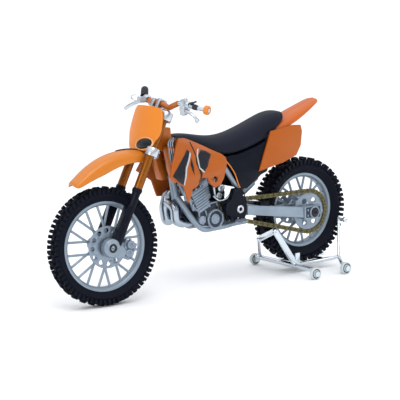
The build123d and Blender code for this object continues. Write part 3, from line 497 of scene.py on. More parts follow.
def barrel(start, end, end_radius, radius, edge, bore=0.05, sides=20):
    """A drum from start to end whose rims are eased over a share of its length; bore makes it a collar."""
    profile = [(bore, 0), (end_radius, 0), (radius, edge), (radius, 1 - edge), (end_radius, 1), (bore, 1)]
    return turned_form(start, end, profile, sides)


print("a straight bar has", len(round_bar((0, 0, 0), (0, 0, 9), 1)[1]), "faces")

# %% [markdown]
# ## Knobby tyres
# A motocross tyre is a round carcass with rows of square blocks: pairs in the middle, a row either side
# and a leaning row on each shoulder. A displacement map could fake them, but their edges have to stay
# crisp in silhouette, so every block is a tapered box set out by one loop over the steps round the wheel.

# %% Tyres
TYRE_GAP = 0.06      # between the tyre's bead and the rim
TREAD_DEPTH = 1.35


def carcass_outline(tip, width, lip, rim_half):
    """Closed outline of the tyre without its blocks, as (radius, across)."""
    bead = lip + 0.6
    crown = tip - TREAD_DEPTH - bead
    outer = []
    for k in range(13):
        a = pi * (k / 12 - 0.5)
        outer.append((bead + crown * max(0.0, cos(a)) ** 0.55, sin(a) * width * 0.485))
    outer[0] = (lip + TYRE_GAP, -rim_half)
    outer[-1] = (lip + TYRE_GAP, rim_half)
    return outer + [(lip - 0.6, rim_half - 0.5), (lip - 0.6, 0.5 - rim_half)]


def tread_rows(k, width, tip):
    """The rows of one step: middle across, half width, half length in steps, base and tip radius, lean."""
    middle = [(0.115, 0.085 * width, 0.36, tip - 1.7, tip, 0.0)]
    flank = [(0.285, 0.070 * width, 0.36, tip - 2.0, tip - 0.35, 0.10)]
    shoulder = [(0.425, 0.055 * width, 0.33, tip - 3.3, tip - 1.0, 0.30)]
    rows = (flank if k % 2 else middle) + shoulder
    return [(side * share * width, *rest) for share, *rest in rows for side in (-1, 1)]


def knobby_tyre(node, body, centre, spin, tip, width, lip, rim_half, steps):
    spin = Vector(spin).normalized()
    side = (Vector((1, 0, 0)) - spin * spin.x).normalized()
    other = spin.cross(side)
    parts = [turned_ring(centre, spin, carcass_outline(tip, width, lip, rim_half), sides=120)]
    for k in range(steps):
        for across, half, length, base, top, lean in tread_rows(k, width, tip):
            def corner_at(along, y, r, across=across, lean=lean, base=base, k=k):
                a = 2 * pi / steps * (k + along)
                outward = 1 if across > 0 else -1
                y = across + y + outward * lean * (r - base)
                return centre + (side * cos(a) + other * sin(a)) * r + spin * y
            parts.append(block(corner_at, (-length, -half, base), (length, half, top), taper=0.10))
    make_piece(node + "_dressed", *merged(parts), tyre_vinyl, body, "tyre_rubber", stands_for=[node],
               bevel=0.12)


knobby_tyre("front_tyre", "front_wheel", FRONT_CENTRE, FRONT_SPIN, tip=FRONT_CENTRE.z - 0.1, width=8.1,
            lip=21.9, rim_half=2.1, steps=68)
knobby_tyre("rear_tyre", "rear_wheel", REAR_CENTRE, (0, 1, 0), tip=27.6, width=10.6, lip=19.4, rim_half=2.6,
            steps=60)
print("tyres made")

# %% [markdown]
# ## Fenders
# Both fenders are thin moulded shells. The section is an arch: two side walls, rounded shoulders and a
# gently raised spine. It is drawn at a few stations along the fender, doubled inwards by the wall's
# thickness, and a subdivision surface makes the sweep between the stations smooth.

# %% An arched shell along stations
FENDER_WALL = 0.75


def arch_ring(place, x, top, half, drop, spine):
    """Closed ring round an arch at one station: outer side from left to right, then the inner one back."""
    shares = [(1.0, 1.0), (0.99, 0.72), (0.93, 0.34), (0.74, 0.08), (0.34, 0.0), (0.14, -0.05)]
    outer = [(half * a, top - drop * b) for a, b in shares] + [(0.0, top + spine)]
    outer += [(-y, z) for y, z in reversed(outer[:-1])]
    inner = []
    for y, z in reversed(outer):
        steepness = (abs(y) / half) ** 2
        pull = FENDER_WALL * 0.9 * steepness
        inner.append((y - pull if y > 0 else y + pull, z - FENDER_WALL * (1 - steepness * 0.9)))
    return [place(x, y, z) for y, z in outer + inner]


# each station: place along the bike, top, half width, depth of the sides
FRONT_FENDER = [(36.9, 72.6, 4.9, 5.4), (41.5, 73.9, 6.0, 5.6), (48.0, 74.3, 6.5, 6.0),
                (55.0, 73.5, 6.6, 6.6), (61.0, 71.6, 6.3, 7.4), (66.5, 69.0, 6.0, 6.6),
                (71.5, 65.4, 5.6, 5.0), (75.0, 62.4, 5.2, 3.8), (77.0, 61.0, 4.9, 2.0)]
rings = [arch_ring(turned, *station, spine=0.35) for station in FRONT_FENDER]
make_piece("front_fender_shell", *skin(rings), front_fender_abs, "steering_assembly", "orange_plastic",
           stands_for=["front_fender"], rounds=2)
print("front fender made from", len(rings), "stations")

# %% [markdown]
# A slim black strip starts under the plate and runs along the crest, for about two fifths of the front
# fender's length. It is a low ridge that narrows towards its end.

# %% Strip on the front fender
CREST = [(38.5, 72.9), (42.0, 73.8), (45.5, 74.2), (49.0, 74.2), (53.0, 73.8)]
STRIP_HALF, STRIP_RISE = 2.0, 0.85
strip = []
for k, (x, top) in enumerate(CREST):
    half = STRIP_HALF * (1 - k / (len(CREST) - 0.6))
    section = ((half, top), (half * 0.7, top + STRIP_RISE), (-half * 0.7, top + STRIP_RISE), (-half, top))
    strip.append([turned(x, y, z) for y, z in section])
make_piece("front_fender_strip", *skin(strip), gloss_black, "steering_assembly", "black_plastic", rounds=1)
print("strip", CREST[-1][0] - CREST[0][0], "mm long")

# %% [markdown]
# The rear fender is the same arch, with its own stations, rising to a flat tip.

# %% Rear fender
REAR_FENDER = [(-39.5, 77.6, 7.0, 3.0), (-45.0, 80.3, 7.3, 4.4), (-51.0, 83.0, 7.2, 4.8),
               (-57.5, 85.4, 6.8, 4.4), (-64.0, 87.7, 6.0, 3.4), (-69.0, 89.4, 5.2, 2.2),
               (-72.2, 90.2, 4.6, 1.3)]
rings = [arch_ring(spot, *station, spine=0.5) for station in REAR_FENDER]
make_piece("rear_fender_shell", *skin(rings), rear_fender_abs, "chassis", "orange_plastic",
           stands_for=["rear_fender"], rounds=2)
print("rear fender made from", len(rings), "stations")

# %% [markdown]
# ## Seat
# The seat is a long padded cover in dark vinyl: narrow at the nose over the tank, dipped where the rider
# sits, and rising into a hump. Its top is crowned and its sides pull in below a piped seam. On the toy it
# is one hard moulding, so no cloth is simulated: the form is drawn at ten stations and subdivided.

# %% Seat
# each station: place along the bike, top, bottom, half width on top, half width at the seam
SEAT = [(21.2, 78.9, 78.0, 2.8, 3.9), (17.0, 79.7, 77.4, 3.4, 5.0), (11.0, 79.0, 75.2, 3.7, 5.9),
        (3.0, 77.3, 71.2, 3.9, 6.8), (-6.0, 76.2, 66.6, 4.2, 7.3), (-16.0, 77.7, 66.8, 4.6, 7.7),
        (-28.0, 81.7, 69.8, 5.0, 7.9), (-37.0, 85.0, 73.9, 5.2, 7.7), (-43.5, 86.0, 79.7, 5.2, 7.2),
        (-48.0, 85.2, 82.7, 4.8, 6.0)]


def seat_ring(x, top, bottom, half_top, half_seam):
    deep = top - bottom
    left = [(half_seam - 0.5, bottom), (half_seam, bottom + deep * 0.10),
            (half_seam - 0.25, bottom + deep * 0.45), ((half_seam + half_top) / 2, bottom + deep * 0.78),
            (half_top * 0.92, top - deep * 0.07), (half_top * 0.5, top)]
    return [spot(x, y, z) for y, z in left + [(0, top + 0.1)] + [(-y, z) for y, z in reversed(left)]]


seat = make_piece("seat_cover", *skin([seat_ring(*station) for station in SEAT]), seat_vinyl, "chassis",
                  "black_plastic", stands_for=["seat"], rounds=2)
for side, end in ((1, "left"), (-1, "right")):
    seam = [spot(x, side * (half_seam - 0.05), bottom + (top - bottom) * 0.16)
            for x, top, bottom, half_top, half_seam in SEAT[:-2]]
    make_piece("seat_piping_" + end, *bent_bar(seam, 0.22, sides=8), gloss_black, "chassis", "black_plastic")
print("seat made")

# %% [markdown]
# ## Printed flashes on the side panels
# A printed film follows the panel that it is stuck to. Its outline is drawn flat, filled with a net of small
# triangles, and every corner is dropped onto the imported panel by a ray, so that the film lies on the
# surface wherever that bends. The design is a plain pair of swept blades. A pale film along their edges is
# painted highlight, the bright line on the shroud's bevelled edges, and a dark one is painted shade in the
# gap between the panel's halves.

# %% A film laid on a panel
FILM = 0.10
NET = 0.9            # spacing of the film's triangles


def divided(outline):
    """The outline's corners, with more points on its longer sides."""
    points = []
    for i, (x, z) in enumerate(outline):
        next_x, next_z = outline[(i + 1) % len(outline)]
        pieces = max(1, ceil(hypot(next_x - x, next_z - z) / NET))
        points += [(x + (next_x - x) * k / pieces, z + (next_z - z) * k / pieces) for k in range(pieces)]
    return points


def laid_film(name, node, outline, finish, side, lift=0.05):
    """A thin film on a panel's outer face; outline is (along the bike, height) in mid-wheelbase places."""
    mesh = frame["nodes"][node].data
    faces = [tuple(polygon.vertices) for polygon in mesh.polygons]
    panel = BVHTree.FromPolygons([vertex.co / MM for vertex in mesh.vertices], faces)
    edge = divided(outline)
    xs = [x for x, _ in outline]
    zs = [z for _, z in outline]
    columns = int((max(xs) - min(xs)) / NET)
    rows = int((max(zs) - min(zs)) / NET)
    inside = [(min(xs) + NET * (i + 0.5), min(zs) + NET * (k + 0.5))
              for i in range(columns) for k in range(rows)]
    border = [list(range(len(edge)))]
    flat, _, triangles = delaunay_2d_cdt([Vector(p) for p in edge + inside], [], border, 1, 0.001)[:3]
    points = []
    for x, z in flat:
        start = spot(x, side * 40, z)
        hit = panel.ray_cast(start, Vector((0, -side, 0)))[0] or panel.find_nearest(spot(x, side * 13, z))[0]
        points.append(Vector((start.x, hit.y + side * lift, start.z)))
    faces = [tuple(triangle) for triangle in triangles]
    film = make_piece(name, points, faces, finish, "chassis", "orange_plastic", crease=60)
    sheet = film.modifiers.new("sheet", "SOLIDIFY")
    sheet.thickness = FILM * MM
    sheet.offset = 0.0


print("a 9 mm square's edge is divided into", len(divided([(0, 0), (9, 0), (9, 9), (0, 9)])), "parts")

# %% [markdown]
# Each flash is a list of corners. The pale edges, painted highlights of the shroud's bevelled edges, share
# corners with the blades that they border, and a dark film paints the shade in the gap between the panel's
# front and rear halves.

# %% Flashes
FRONT_BLADE = [(30.3, 61.3), (24.4, 67.2), (18.8, 73.0), (17.6, 71.6), (19.4, 67.6), (21.4, 64.4),
               (22.4, 60.6), (23.6, 56.2), (26.6, 58.2)]
# painted highlight: pale films along the shroud's bevelled edges, where they catch the light
FRONT_EDGE = [(17.6, 71.6), (19.4, 67.6), (21.4, 64.4), (22.4, 60.6), (23.6, 56.2), (22.9, 56.0),
              (21.5, 60.4), (20.5, 64.0), (18.6, 67.2), (17.0, 70.8)]
SLIVER = [(17.2, 68.6), (18.2, 65.6), (17.4, 62.6), (16.6, 60.2), (16.2, 63.6), (16.6, 66.0)]
REAR_BLADE = [(12.9, 69.4), (10.4, 72.0), (7.2, 71.0), (4.4, 69.0), (6.2, 66.4), (7.4, 63.6), (9.8, 61.4),
              (12.4, 63.6)]
REAR_EDGE = [(12.9, 69.4), (12.4, 63.6), (9.8, 61.4), (10.2, 60.7), (13.0, 63.2), (13.6, 69.6), (12.6, 72.4),
             (11.6, 72.8)]
# painted shade: a dark film where the gap between the panel's halves lies in shade
GAP_SHADE = [(16.4, 76.2), (15.2, 72.4), (14.3, 69.0), (14.5, 65.8), (13.0, 61.9), (12.6, 59.0), (13.8, 56.4),
          (11.8, 57.9), (11.3, 60.6), (12.5, 63.0), (13.6, 66.0), (13.7, 69.2), (14.7, 72.8), (15.9, 76.4)]
for side, end in ((1, "left"), (-1, "right")):
    panel = "shroud_" + end
    laid_film("front_blade_" + end, panel, FRONT_BLADE, decal_black, side)
    laid_film("front_blade_edge_" + end, panel, FRONT_EDGE, edge_highlight_film, side)
    laid_film("front_sliver_" + end, panel, SLIVER, decal_black, side)
    laid_film("rear_blade_" + end, panel, REAR_BLADE, decal_black, side)
    laid_film("rear_blade_edge_" + end, panel, REAR_EDGE, edge_highlight_film, side)
    laid_film("panel_gap_shade_" + end, panel, GAP_SHADE, gloss_black, side, lift=0.03)
print("flashes laid")

# %% [markdown]
# ## Number plate
# The plate is a thin curved shell with an opening near its lower edge, drawn as a dark oval: painted shade
# for the hollow behind it. It is made of rings, one for each height, bent back at their ends, with a rounded
# outline. It sits a little off the middle and turned, as a clipped-on part does. The field stays bare.

# %% Number plate
# each station: height along the fork, half width
PLATE_OUTLINE = [(49.6, 5.6), (50.6, 8.2), (52.6, 9.6), (55.2, 10.9), (57.4, 12.4), (59.4, 13.2),
                 (62.0, 13.1), (66.0, 12.6), (69.0, 11.9), (70.6, 10.8), (71.4, 9.0)]
PLATE_TURN, PLATE_SHIFT, PLATE_WALL = radians(4.0), -0.9, 0.9


def on_plate(across, u, out=0.0):
    """A point on the plate's face: it leans more upright than the fork and curls back at its sides."""
    w = 8.5 - (71.4 - u) * 0.15 - 2.2 * (across / 13.0) ** 2 + out
    y = across + PLATE_SHIFT
    return fork(w * cos(PLATE_TURN) - y * sin(PLATE_TURN), y * cos(PLATE_TURN) + w * sin(PLATE_TURN), u)


rings = []
for u, half in PLATE_OUTLINE:
    places = [half * k / 8 for k in range(-8, 9)]
    face = [on_plate(across, u) for across in places]
    rings.append(face + [on_plate(across, u, -PLATE_WALL) for across in reversed(places)])
make_piece("number_plate_shell", *skin(rings), bright_orange_abs, "steering_assembly", "orange_plastic",
           stands_for=["number_plate"], rounds=1, bevel=0.2)
print("plate", round(PLATE_OUTLINE[-1][0] - PLATE_OUTLINE[0][0], 1), "mm high")

# %% [markdown]
# The opening is a dished oval in gloss black, painted shade for the hollow behind it, with a raised pale
# rim. Both are the same turned outline, stretched to an oval and laid on the plate's curved face; the rim has
# a wide hole, the disc hardly any.

# %% The plate's opening
MOUTH_MIDDLE = (4.6, 53.0)
MOUTH_SLANT = 0.16


def plate_oval(name, size, out, deep, finish, hole=0.0, sides=40):
    """A raised oval on the plate: a rim when hole is given, otherwise a disc."""
    outline = [(1.0, out - deep), (1.0, out - 0.1), (0.96, out), (hole + 0.04 if hole else 0.02, out),
               (hole or 0.01, out - deep)]
    rings = []
    for a in around(sides):
        ring = []
        for share, depth in outline:
            across = cos(a) * size[0] * share
            rise = sin(a) * size[1] * share + across * MOUTH_SLANT
            ring.append(on_plate(MOUTH_MIDDLE[0] + across, MOUTH_MIDDLE[1] + rise, depth))
        rings.append(ring)
    make_piece(name, *skin(rings, closed=True), finish, "steering_assembly", "orange_plastic", crease=50)


# painted shade: the dark disc stands for the shade inside the plate's opening
plate_oval("plate_mouth", (5.6, 2.6), 0.10, 0.4, gloss_black)
plate_oval("plate_mouth_rim", (6.3, 3.2), 0.35, 0.6, pale_edge, hole=0.86)
print("plate opened")

# %% [markdown]
# ## Chain
# A roller chain alternates inner and outer side plates, shaped like a figure of eight, on pins. The links
# follow the loop that wraps the two chain wheels: two straight runs and two arcs. First comes the loop, as
# a function from the distance along it to a place.

# %% The chain's path
DRIVE_MIDDLE, DRIVE_WRAP, REAR_WRAP = (-6.0, 40.0), 3.9, 10.75
AXLE = (REAR_CENTRE.x - MID_X, REAR_CENTRE.z)
gap_x = AXLE[0] - DRIVE_MIDDLE[0]
gap_z = AXLE[1] - DRIVE_MIDDLE[1]
span = hypot(gap_x, gap_z)
heading = atan2(gap_z, gap_x)
spread = acos((DRIVE_WRAP - REAR_WRAP) / span)
straight = sqrt(span ** 2 - (REAR_WRAP - DRIVE_WRAP) ** 2)
rear_arc = REAR_WRAP * 2 * spread
front_arc = DRIVE_WRAP * (2 * pi - 2 * spread)
loop_length = 2 * straight + rear_arc + front_arc


def on_wheel(middle, wrap, a):
    return Vector((middle[0] + wrap * cos(a), middle[1] + wrap * sin(a)))


def on_chain(s):
    """The place at distance s: upper run to the rear, rear wheel, lower run back, front wheel."""
    s %= loop_length
    upper, lower = heading - spread, heading + spread
    if s <= straight:
        return on_wheel(DRIVE_MIDDLE, DRIVE_WRAP, upper).lerp(on_wheel(AXLE, REAR_WRAP, upper), s / straight)
    s -= straight
    if s <= rear_arc:
        return on_wheel(AXLE, REAR_WRAP, upper + s / REAR_WRAP)
    s -= rear_arc
    if s <= straight:
        return on_wheel(AXLE, REAR_WRAP, lower).lerp(on_wheel(DRIVE_MIDDLE, DRIVE_WRAP, lower), s / straight)
    return on_wheel(DRIVE_MIDDLE, DRIVE_WRAP, lower + (s - straight) / DRIVE_WRAP)


print("chain loop", round(loop_length, 1), "mm")

# %% [markdown]
# The wanted pitch is stretched a little, so that an even number of links closes the loop. Every second
# link is an inner one, whose plates stand closer together.

# %% Links and pins
PITCH, INSET, PLATE = 1.9, 0.28, 0.3
CHAIN_IN, CHAIN_OUT, PIN_END = 6.95, 8.35, 8.72       # across the bike
link_count = round(loop_length / PITCH / 2) * 2
plates, pins = [], []
for k in range(link_count):
    start = on_chain(k * loop_length / link_count)
    end = on_chain((k + 1) * loop_length / link_count)
    run = (end - start).normalized()
    rise = Vector((-run.y, run.x))
    half = (end - start).length / 2
    outline = [(half + 0.75 * cos(radians(d)), 1.15 * sin(radians(d))) for d in (-75, -40, 0, 40, 75)]
    outline += [(0.0, 0.85)] + [(-x, z) for x, z in reversed(outline)] + [(0.0, -0.85)]
    corners = [(start + end) / 2 + run * x + rise * z for x, z in outline]
    inset = 0.0 if k % 2 else INSET
    for low in (CHAIN_IN + inset, CHAIN_OUT - inset):
        plates.append(skin([[spot(c.x, y, c.y) for c in corners] for y in (low, low + PLATE)]))
    pins.append(round_bar(spot(start.x, CHAIN_IN, start.y), spot(start.x, PIN_END, start.y), 0.42, sides=8))
make_piece("chain_plates", *merged(plates), bronze, "chassis", "chain_brass", stands_for=["drive_chain"])
make_piece("chain_pins", *merged(pins), dark_metal, "chassis", "chain_brass")
print("chain links:", link_count)

# %% [markdown]
# ## Engine
# The casting of the toy's engine is one silver lump whose recesses lie in deep shade. The imported cases and
# the carburettor wear a dark copy of the silver paint, painted shade for that ground, and the lit forms stand
# on them. Most lie flat against the bike's side, so four makers have their axis across the bike: a slab, a
# screw head, a circle of screws and a turned cover. A pipe is a bent bar whose corners are local numbers.

# %% Slabs, screws, covers and pipes
def slab(outline, low_y, high_y, taper=0.0, place=spot):
    """An outline in (x, z) between two planes across the bike; taper shrinks the high face."""
    mx = sum(x for x, _ in outline) / len(outline)
    mz = sum(z for _, z in outline) / len(outline)
    far = [(x + (mx - x) * taper, z + (mz - z) * taper) for x, z in outline]
    return skin([[place(x, low_y, z) for x, z in outline], [place(x, high_y, z) for x, z in far]])


def screw_head(x, z, low_y, high_y, radius=0.5, place=spot):
    """A six-sided screw head."""
    outline = [(x + radius * cos(a), z + radius * sin(a)) for a in around(6)]
    return slab(outline, low_y, high_y, taper=0.12, place=place)


def screw_circle(middle, reach, count, start, low_y, high_y, radius, place=spot):
    """Screw heads evenly round a circle, the first at the start angle."""
    return [screw_head(middle[0] + reach * cos(a), middle[1] + reach * sin(a), low_y, high_y, radius, place)
            for a in around(count, start)]


def round_cover(x, z, profile, sides=48, place=spot):
    """A turned cover: profile is (radius, y), closed."""
    rings = [[place(x + r * cos(a), y, z + r * sin(a)) for r, y in profile] for a in around(sides)]
    return skin(rings, closed=True)


def on_side(profile, side):
    """A (radius, y) profile for the left side, or mirrored for the right one."""
    return [(r, side * y) for r, y in profile]


def pipe(corners, radius, sides=12, place=spot):
    return bent_bar([place(*corner) for corner in corners], radius, sides)


print("a screw head has", len(screw_head(0, 0, 0, 1)[1]), "faces")

# %% [markdown]
# The cylinder leans forward, so its ribs, studs and top flange are given along its own axis.

# %% Ribbed cylinder
LEAN = radians(24)
RIBS, RIB_PITCH, RIB_HEIGHT = 8, 1.35, 0.62


def on_cylinder(a, y, h):
    """Local directions of the leaning cylinder: a forward, h up along it."""
    return spot(6.3 + a * cos(LEAN) + h * sin(LEAN), y, 41.6 - a * sin(LEAN) + h * cos(LEAN))


parts = [block(on_cylinder, (-3.9, 5.0, -0.6), (3.9, 7.9, 11.4)),
         block(on_cylinder, (-4.4, 4.8, 9.9), (4.4, 8.2, 11.0))]
for k in range(RIBS):
    low = 0.4 + RIB_PITCH * k
    parts.append(block(on_cylinder, (-4.2, 5.0, low), (4.2, 8.45, low + RIB_HEIGHT)))
for a, h in ((-3.0, 11.4), (0.0, 11.4), (3.0, 11.4), (-3.6, -0.4), (3.6, -0.4)):
    parts.append(round_bar(on_cylinder(a, 7.4, h - 0.6), on_cylinder(a, 7.4, h + 0.7), 0.62, sides=8))
make_piece("cylinder_ribs", *merged(parts), engine_paint, "chassis", "bright_metal", bevel=0.14)
print("ribs:", RIBS)

# %% [markdown]
# Round covers with their screws sit low on the cases: the clutch cover, a smaller one in front of it, and
# a plain twin of the clutch cover on the right. Narrow webs between them stand a little proud.

# %% Covers and webs
CLUTCH_MIDDLE, SMALL_MIDDLE, RIGHT_MIDDLE = (0.2, 35.9), (8.0, 36.2), (0.0, 36.4)
CLUTCH = [(0.05, 9.1), (2.4, 9.1), (2.7, 8.8), (4.0, 8.8), (4.25, 9.35), (4.75, 9.35), (5.0, 9.0), (5.0, 7.6),
          (0.05, 7.6)]
SMALL = [(0.05, 9.2), (1.1, 9.2), (1.3, 8.9), (1.7, 8.9), (2.1, 8.6), (2.1, 7.4), (0.05, 7.4)]
parts = [round_cover(*CLUTCH_MIDDLE, CLUTCH), round_cover(*SMALL_MIDDLE, SMALL, sides=32),
         round_cover(*RIGHT_MIDDLE, [(r, -y - 0.6) for r, y in CLUTCH])]
parts += screw_circle(CLUTCH_MIDDLE, 4.5, 8, radians(18), 9.2, 9.75, 0.42)
parts += screw_circle(CLUTCH_MIDDLE, 1.6, 5, 0.0, 9.0, 9.4, 0.34)
parts += screw_circle(SMALL_MIDDLE, 2.2, 3, radians(24), 7.5, 8.7, 0.4)
parts += screw_circle(RIGHT_MIDDLE, 4.5, 8, radians(18), -9.8, -10.35, 0.42)
make_piece("engine_covers", *merged(parts), engine_paint, "chassis", "bright_metal", bevel=0.10)

WEBS = [[(9.9, 42.2), (10.5, 41.6), (9.0, 34.0), (8.2, 34.2)],
        [(5.6, 41.2), (6.2, 40.6), (2.6, 31.0), (1.9, 31.3)],
        [(-1.6, 43.8), (-0.9, 43.3), (-4.6, 36.0), (-5.3, 36.4)],
        [(9.0, 33.4), (8.6, 32.6), (-6.4, 31.0), (-6.6, 31.7)],
        [(-2.0, 44.6), (5.6, 44.1), (5.6, 43.4), (-2.0, 43.9)]]
parts = [slab(web, side * 7.3, side * 8.1, taper=0.05) for side in (1, -1) for web in WEBS]
make_piece("engine_webs", *merged(parts), engine_paint, "chassis", "bright_metal", bevel=0.12)
print("webs:", len(parts))

# %% [markdown]
# The carburettor gets its throat, its float bowl, a few screws and two hoses. A dark rubber block stands
# behind it and closes the view through the engine. In front, a radiator hose and a water pipe with square
# turns run down to the cases.

# %% Carburettor, intake and water pipes
THROAT = [(0.8, 6.6), (1.0, 6.9), (1.7, 6.9), (2.1, 6.5), (2.1, 5.4), (0.8, 5.4)]
BOWL = [(0.05, 6.4), (1.2, 6.4), (1.5, 6.1), (1.9, 6.1), (1.9, 5.2), (0.05, 5.2)]
BOOT = [(-3.0, 51.0), (-8.6, 51.0), (-12.0, 47.6), (-11.4, 41.6), (-3.0, 42.0)]
parts = [round_cover(-5.6, 50.6, THROAT, sides=32),
         round_cover(-4.6, 46.6, BOWL, sides=32),
         screw_head(-5.6, 50.6, 5.6, 7.2, 0.7),
         screw_head(-8.3, 46.3, 4.0, 5.0, 0.6),
         screw_head(-1.9, 52.0, 4.2, 5.0, 0.5),
         pipe([(-2.4, 4.9, 55.6), (-1.6, 5.4, 52.0), (-1.9, 5.5, 48.6), (-2.6, 5.2, 46.0)], 0.62),
         pipe([(-0.6, 6.2, 47.0), (-3.2, 7.4, 44.6), (-6.2, 8.6, 44.9), (-8.2, 9.6, 47.2)], 0.5)]
make_piece("carburettor_fittings", *merged(parts), bright_zinc, "chassis", "bright_metal", bevel=0.08)
make_piece("intake_boot", *slab(BOOT, -3.0, 1.5, taper=0.05), black_abs, "chassis", "black_plastic",
           bevel=0.4)
parts = [pipe([(18.4, 3.4, 55.6), (16.6, 4.8, 50.4), (13.4, 5.6, 46.2), (11.2, 5.6, 41.2)], 0.95, sides=14),
         pipe([(14.6, 6.4, 47.8), (11.6, 7.0, 45.2), (12.6, 7.0, 43.6), (10.0, 7.4, 40.8)], 0.5),
         pipe([(9.4, -5.8, 52.6), (13.6, -7.6, 54.2), (17.6, -6.6, 57.4)], 0.8)]
make_piece("water_pipes", *merged(parts), engine_paint, "chassis", "bright_metal")
print("engine dressed")

# %% [markdown]
# The frame's bracket holds the swingarm's pivot: a black plate each side with a silver ring round the
# bolt. A second, lower black form in front of it covers the front chain wheel.

# %% Frame brackets and chain wheel cover
BRACKET = [(-9.2, 50.4), (-13.6, 50.4), (-15.6, 48.4), (-17.3, 43.6), (-17.2, 38.2), (-15.9, 34.6),
           (-12.4, 33.2), (-9.0, 33.4), (-7.0, 36.8), (-4.0, 38.0), (-3.4, 40.6), (-4.0, 43.6), (-6.8, 45.0)]
WHEEL_COVER = [(-2.6, 43.4), (-6.0, 45.2), (-10.4, 44.4), (-11.6, 40.0), (-10.4, 35.4), (-6.4, 33.8),
               (-5.4, 36.8), (-4.4, 40.6)]
BRACKET_IN, BRACKET_OUT = 9.4, 12.5
PIVOT_MIDDLE = (-12.6, 39.8)
PIVOT = [(1.0, 12.5), (1.0, 13.05), (1.25, 13.2), (1.75, 13.2), (2.05, 12.9), (2.05, 12.4)]
black_parts = [slab(WHEEL_COVER, 8.75, 10.2, taper=0.06)]
ring_parts = []
for side in (1, -1):
    black_parts.append(slab(BRACKET, side * BRACKET_IN, side * BRACKET_OUT, taper=0.035))
    ring_parts.append(round_cover(*PIVOT_MIDDLE, on_side(PIVOT, side), sides=40))
    for x, z in ((-14.6, 46.6), (-11.0, 35.4)):
        ring_parts.append(screw_head(x, z, side * (BRACKET_OUT - 0.1), side * (BRACKET_OUT + 0.4)))
make_piece("frame_brackets", *merged(black_parts), black_abs, "chassis", "black_plastic",
           stands_for=["pivot_plates"], bevel=0.3)
make_piece("pivot_rings", *merged(ring_parts), bright_zinc, "chassis", "bright_metal", bevel=0.06)
print("brackets made")

# %% [markdown]
# Each footpeg is a hinged bar with two rows of teeth. The right one mirrors the left, and a mirrored box is
# inside out until its faces are turned round.

# %% Footpegs
TEETH, TOOTH_PITCH, TOOTH_WIDTH, TOOTH_HALF = 6, 0.95, 0.6, 0.28
parts = []
for side in (1, -1):
    def on_peg(x, y, z, side=side):
        return spot(x, side * y, z)

    boxes = [block(on_peg, (-12.9, 12.3, 33.9), (-9.3, 18.4, 34.7))]
    for row in (-12.5, -9.7):
        for k in range(TEETH):
            y = 13.2 + TOOTH_PITCH * k
            boxes.append(block(on_peg, (row - TOOTH_HALF, y, 34.6), (row + TOOTH_HALF, y + TOOTH_WIDTH, 35.2),
                               taper=0.5))
    if side < 0:
        boxes = [(points, [face[::-1] for face in faces]) for points, faces in boxes]
    parts += boxes + [round_bar(on_peg(-12.6, 12.2, 33.6), on_peg(-9.4, 12.2, 33.6), 0.7, sides=12)]
make_piece("footpeg_treads", *merged(parts), silver_paint, "chassis", "silver_paint", stands_for=["footpegs"],
           bevel=0.08)
print("teeth on a peg:", 2 * TEETH)

# %% [markdown]
# ## Front hub, foot and caliper
# The front disc's carrier has five arms, each ending in a screw. Like the rest of this section it is given
# about the front axle, in the fork's own directions.

# %% Front disc carrier
FRONT_LEAD = (FRONT_CENTRE - HEAD).dot(FORWARD)


def on_front(w, y, u):
    """Directions of the front wheel: w forward and u up along the fork, from the axle."""
    return fork(w + FRONT_LEAD, y, u)


HUB = [(1.15, 4.3), (1.15, 5.3), (2.5, 5.3), (3.1, 4.9), (3.1, 3.2), (1.15, 3.2)]
ARM_SCREW = [(0.05, 5.05), (0.5, 5.05), (0.7, 4.85), (0.7, 4.3), (0.05, 4.3)]
ARMS, ARM_START, SCREW_REACH = 5, 0.3, 7.4
parts = [round_cover(0, 0, HUB, sides=40, place=on_front)]
for a in around(ARMS, ARM_START):
    def on_arm(r, y, t, a=a):
        return on_front(r * cos(a) - t * sin(a), y, r * sin(a) + t * cos(a))

    parts.append(block(on_arm, (2.4, 4.2, -0.75), (7.6, 4.75, 0.75)))
    parts.append(round_cover(SCREW_REACH * cos(a), SCREW_REACH * sin(a), ARM_SCREW, sides=12, place=on_front))
make_piece("front_hub_spider", *merged(parts), engine_paint, "front_wheel", "silver_paint", bevel=0.08)
print("arms:", ARMS)

# %% [markdown]
# The fork's left foot is a broad silver boss round the axle, with a dark socket in its middle and an arm
# back to the caliper, whose two round pots stand out of a bolted body. The right foot is a plain lug.

# %% Feet and caliper
FOOT = [(1.12, 9.9), (1.12, 10.2), (2.0, 10.2), (2.2, 10.6), (3.1, 10.6), (3.4, 10.3), (4.2, 10.1),
        (4.6, 9.5), (4.6, 6.4), (1.12, 6.4)]
RIGHT_FOOT = on_side(FOOT[:6] + [(3.4, 6.4), (1.12, 6.4)], -1)
FOOT_ARM = [(-2.0, 4.6), (1.0, 4.6), (-1.0, -4.2), (-6.2, -3.4), (-8.2, -1.4), (-8.6, 1.2), (-5.6, 3.0)]
SOCKET = [(1.1, 10.1), (1.1, 10.66), (1.3, 10.7), (1.75, 10.7), (1.95, 10.66), (1.95, 10.1)]
CALIPER = [(-12.9, 4.4), (-11.2, 7.4), (-7.2, 7.0), (-6.4, 3.0), (-7.6, -2.2), (-12.0, -2.2), (-13.4, 1.0)]
POT = [(0.9, 8.6), (0.9, 9.0), (1.3, 9.2), (1.8, 9.2), (2.1, 8.8), (2.1, 7.3), (0.05, 7.3), (0.05, 8.6)]
parts = [round_cover(0, 0, FOOT, place=on_front), slab(FOOT_ARM, 8.0, 9.4, taper=0.04, place=on_front)]
make_piece("axle_carrier_left", *merged(parts), silver_paint, "steering_assembly", "silver_paint", bevel=0.2)
make_piece("axle_socket_left", *round_cover(0, 0, SOCKET, sides=40, place=on_front), dark_metal,
           "steering_assembly", "silver_paint")
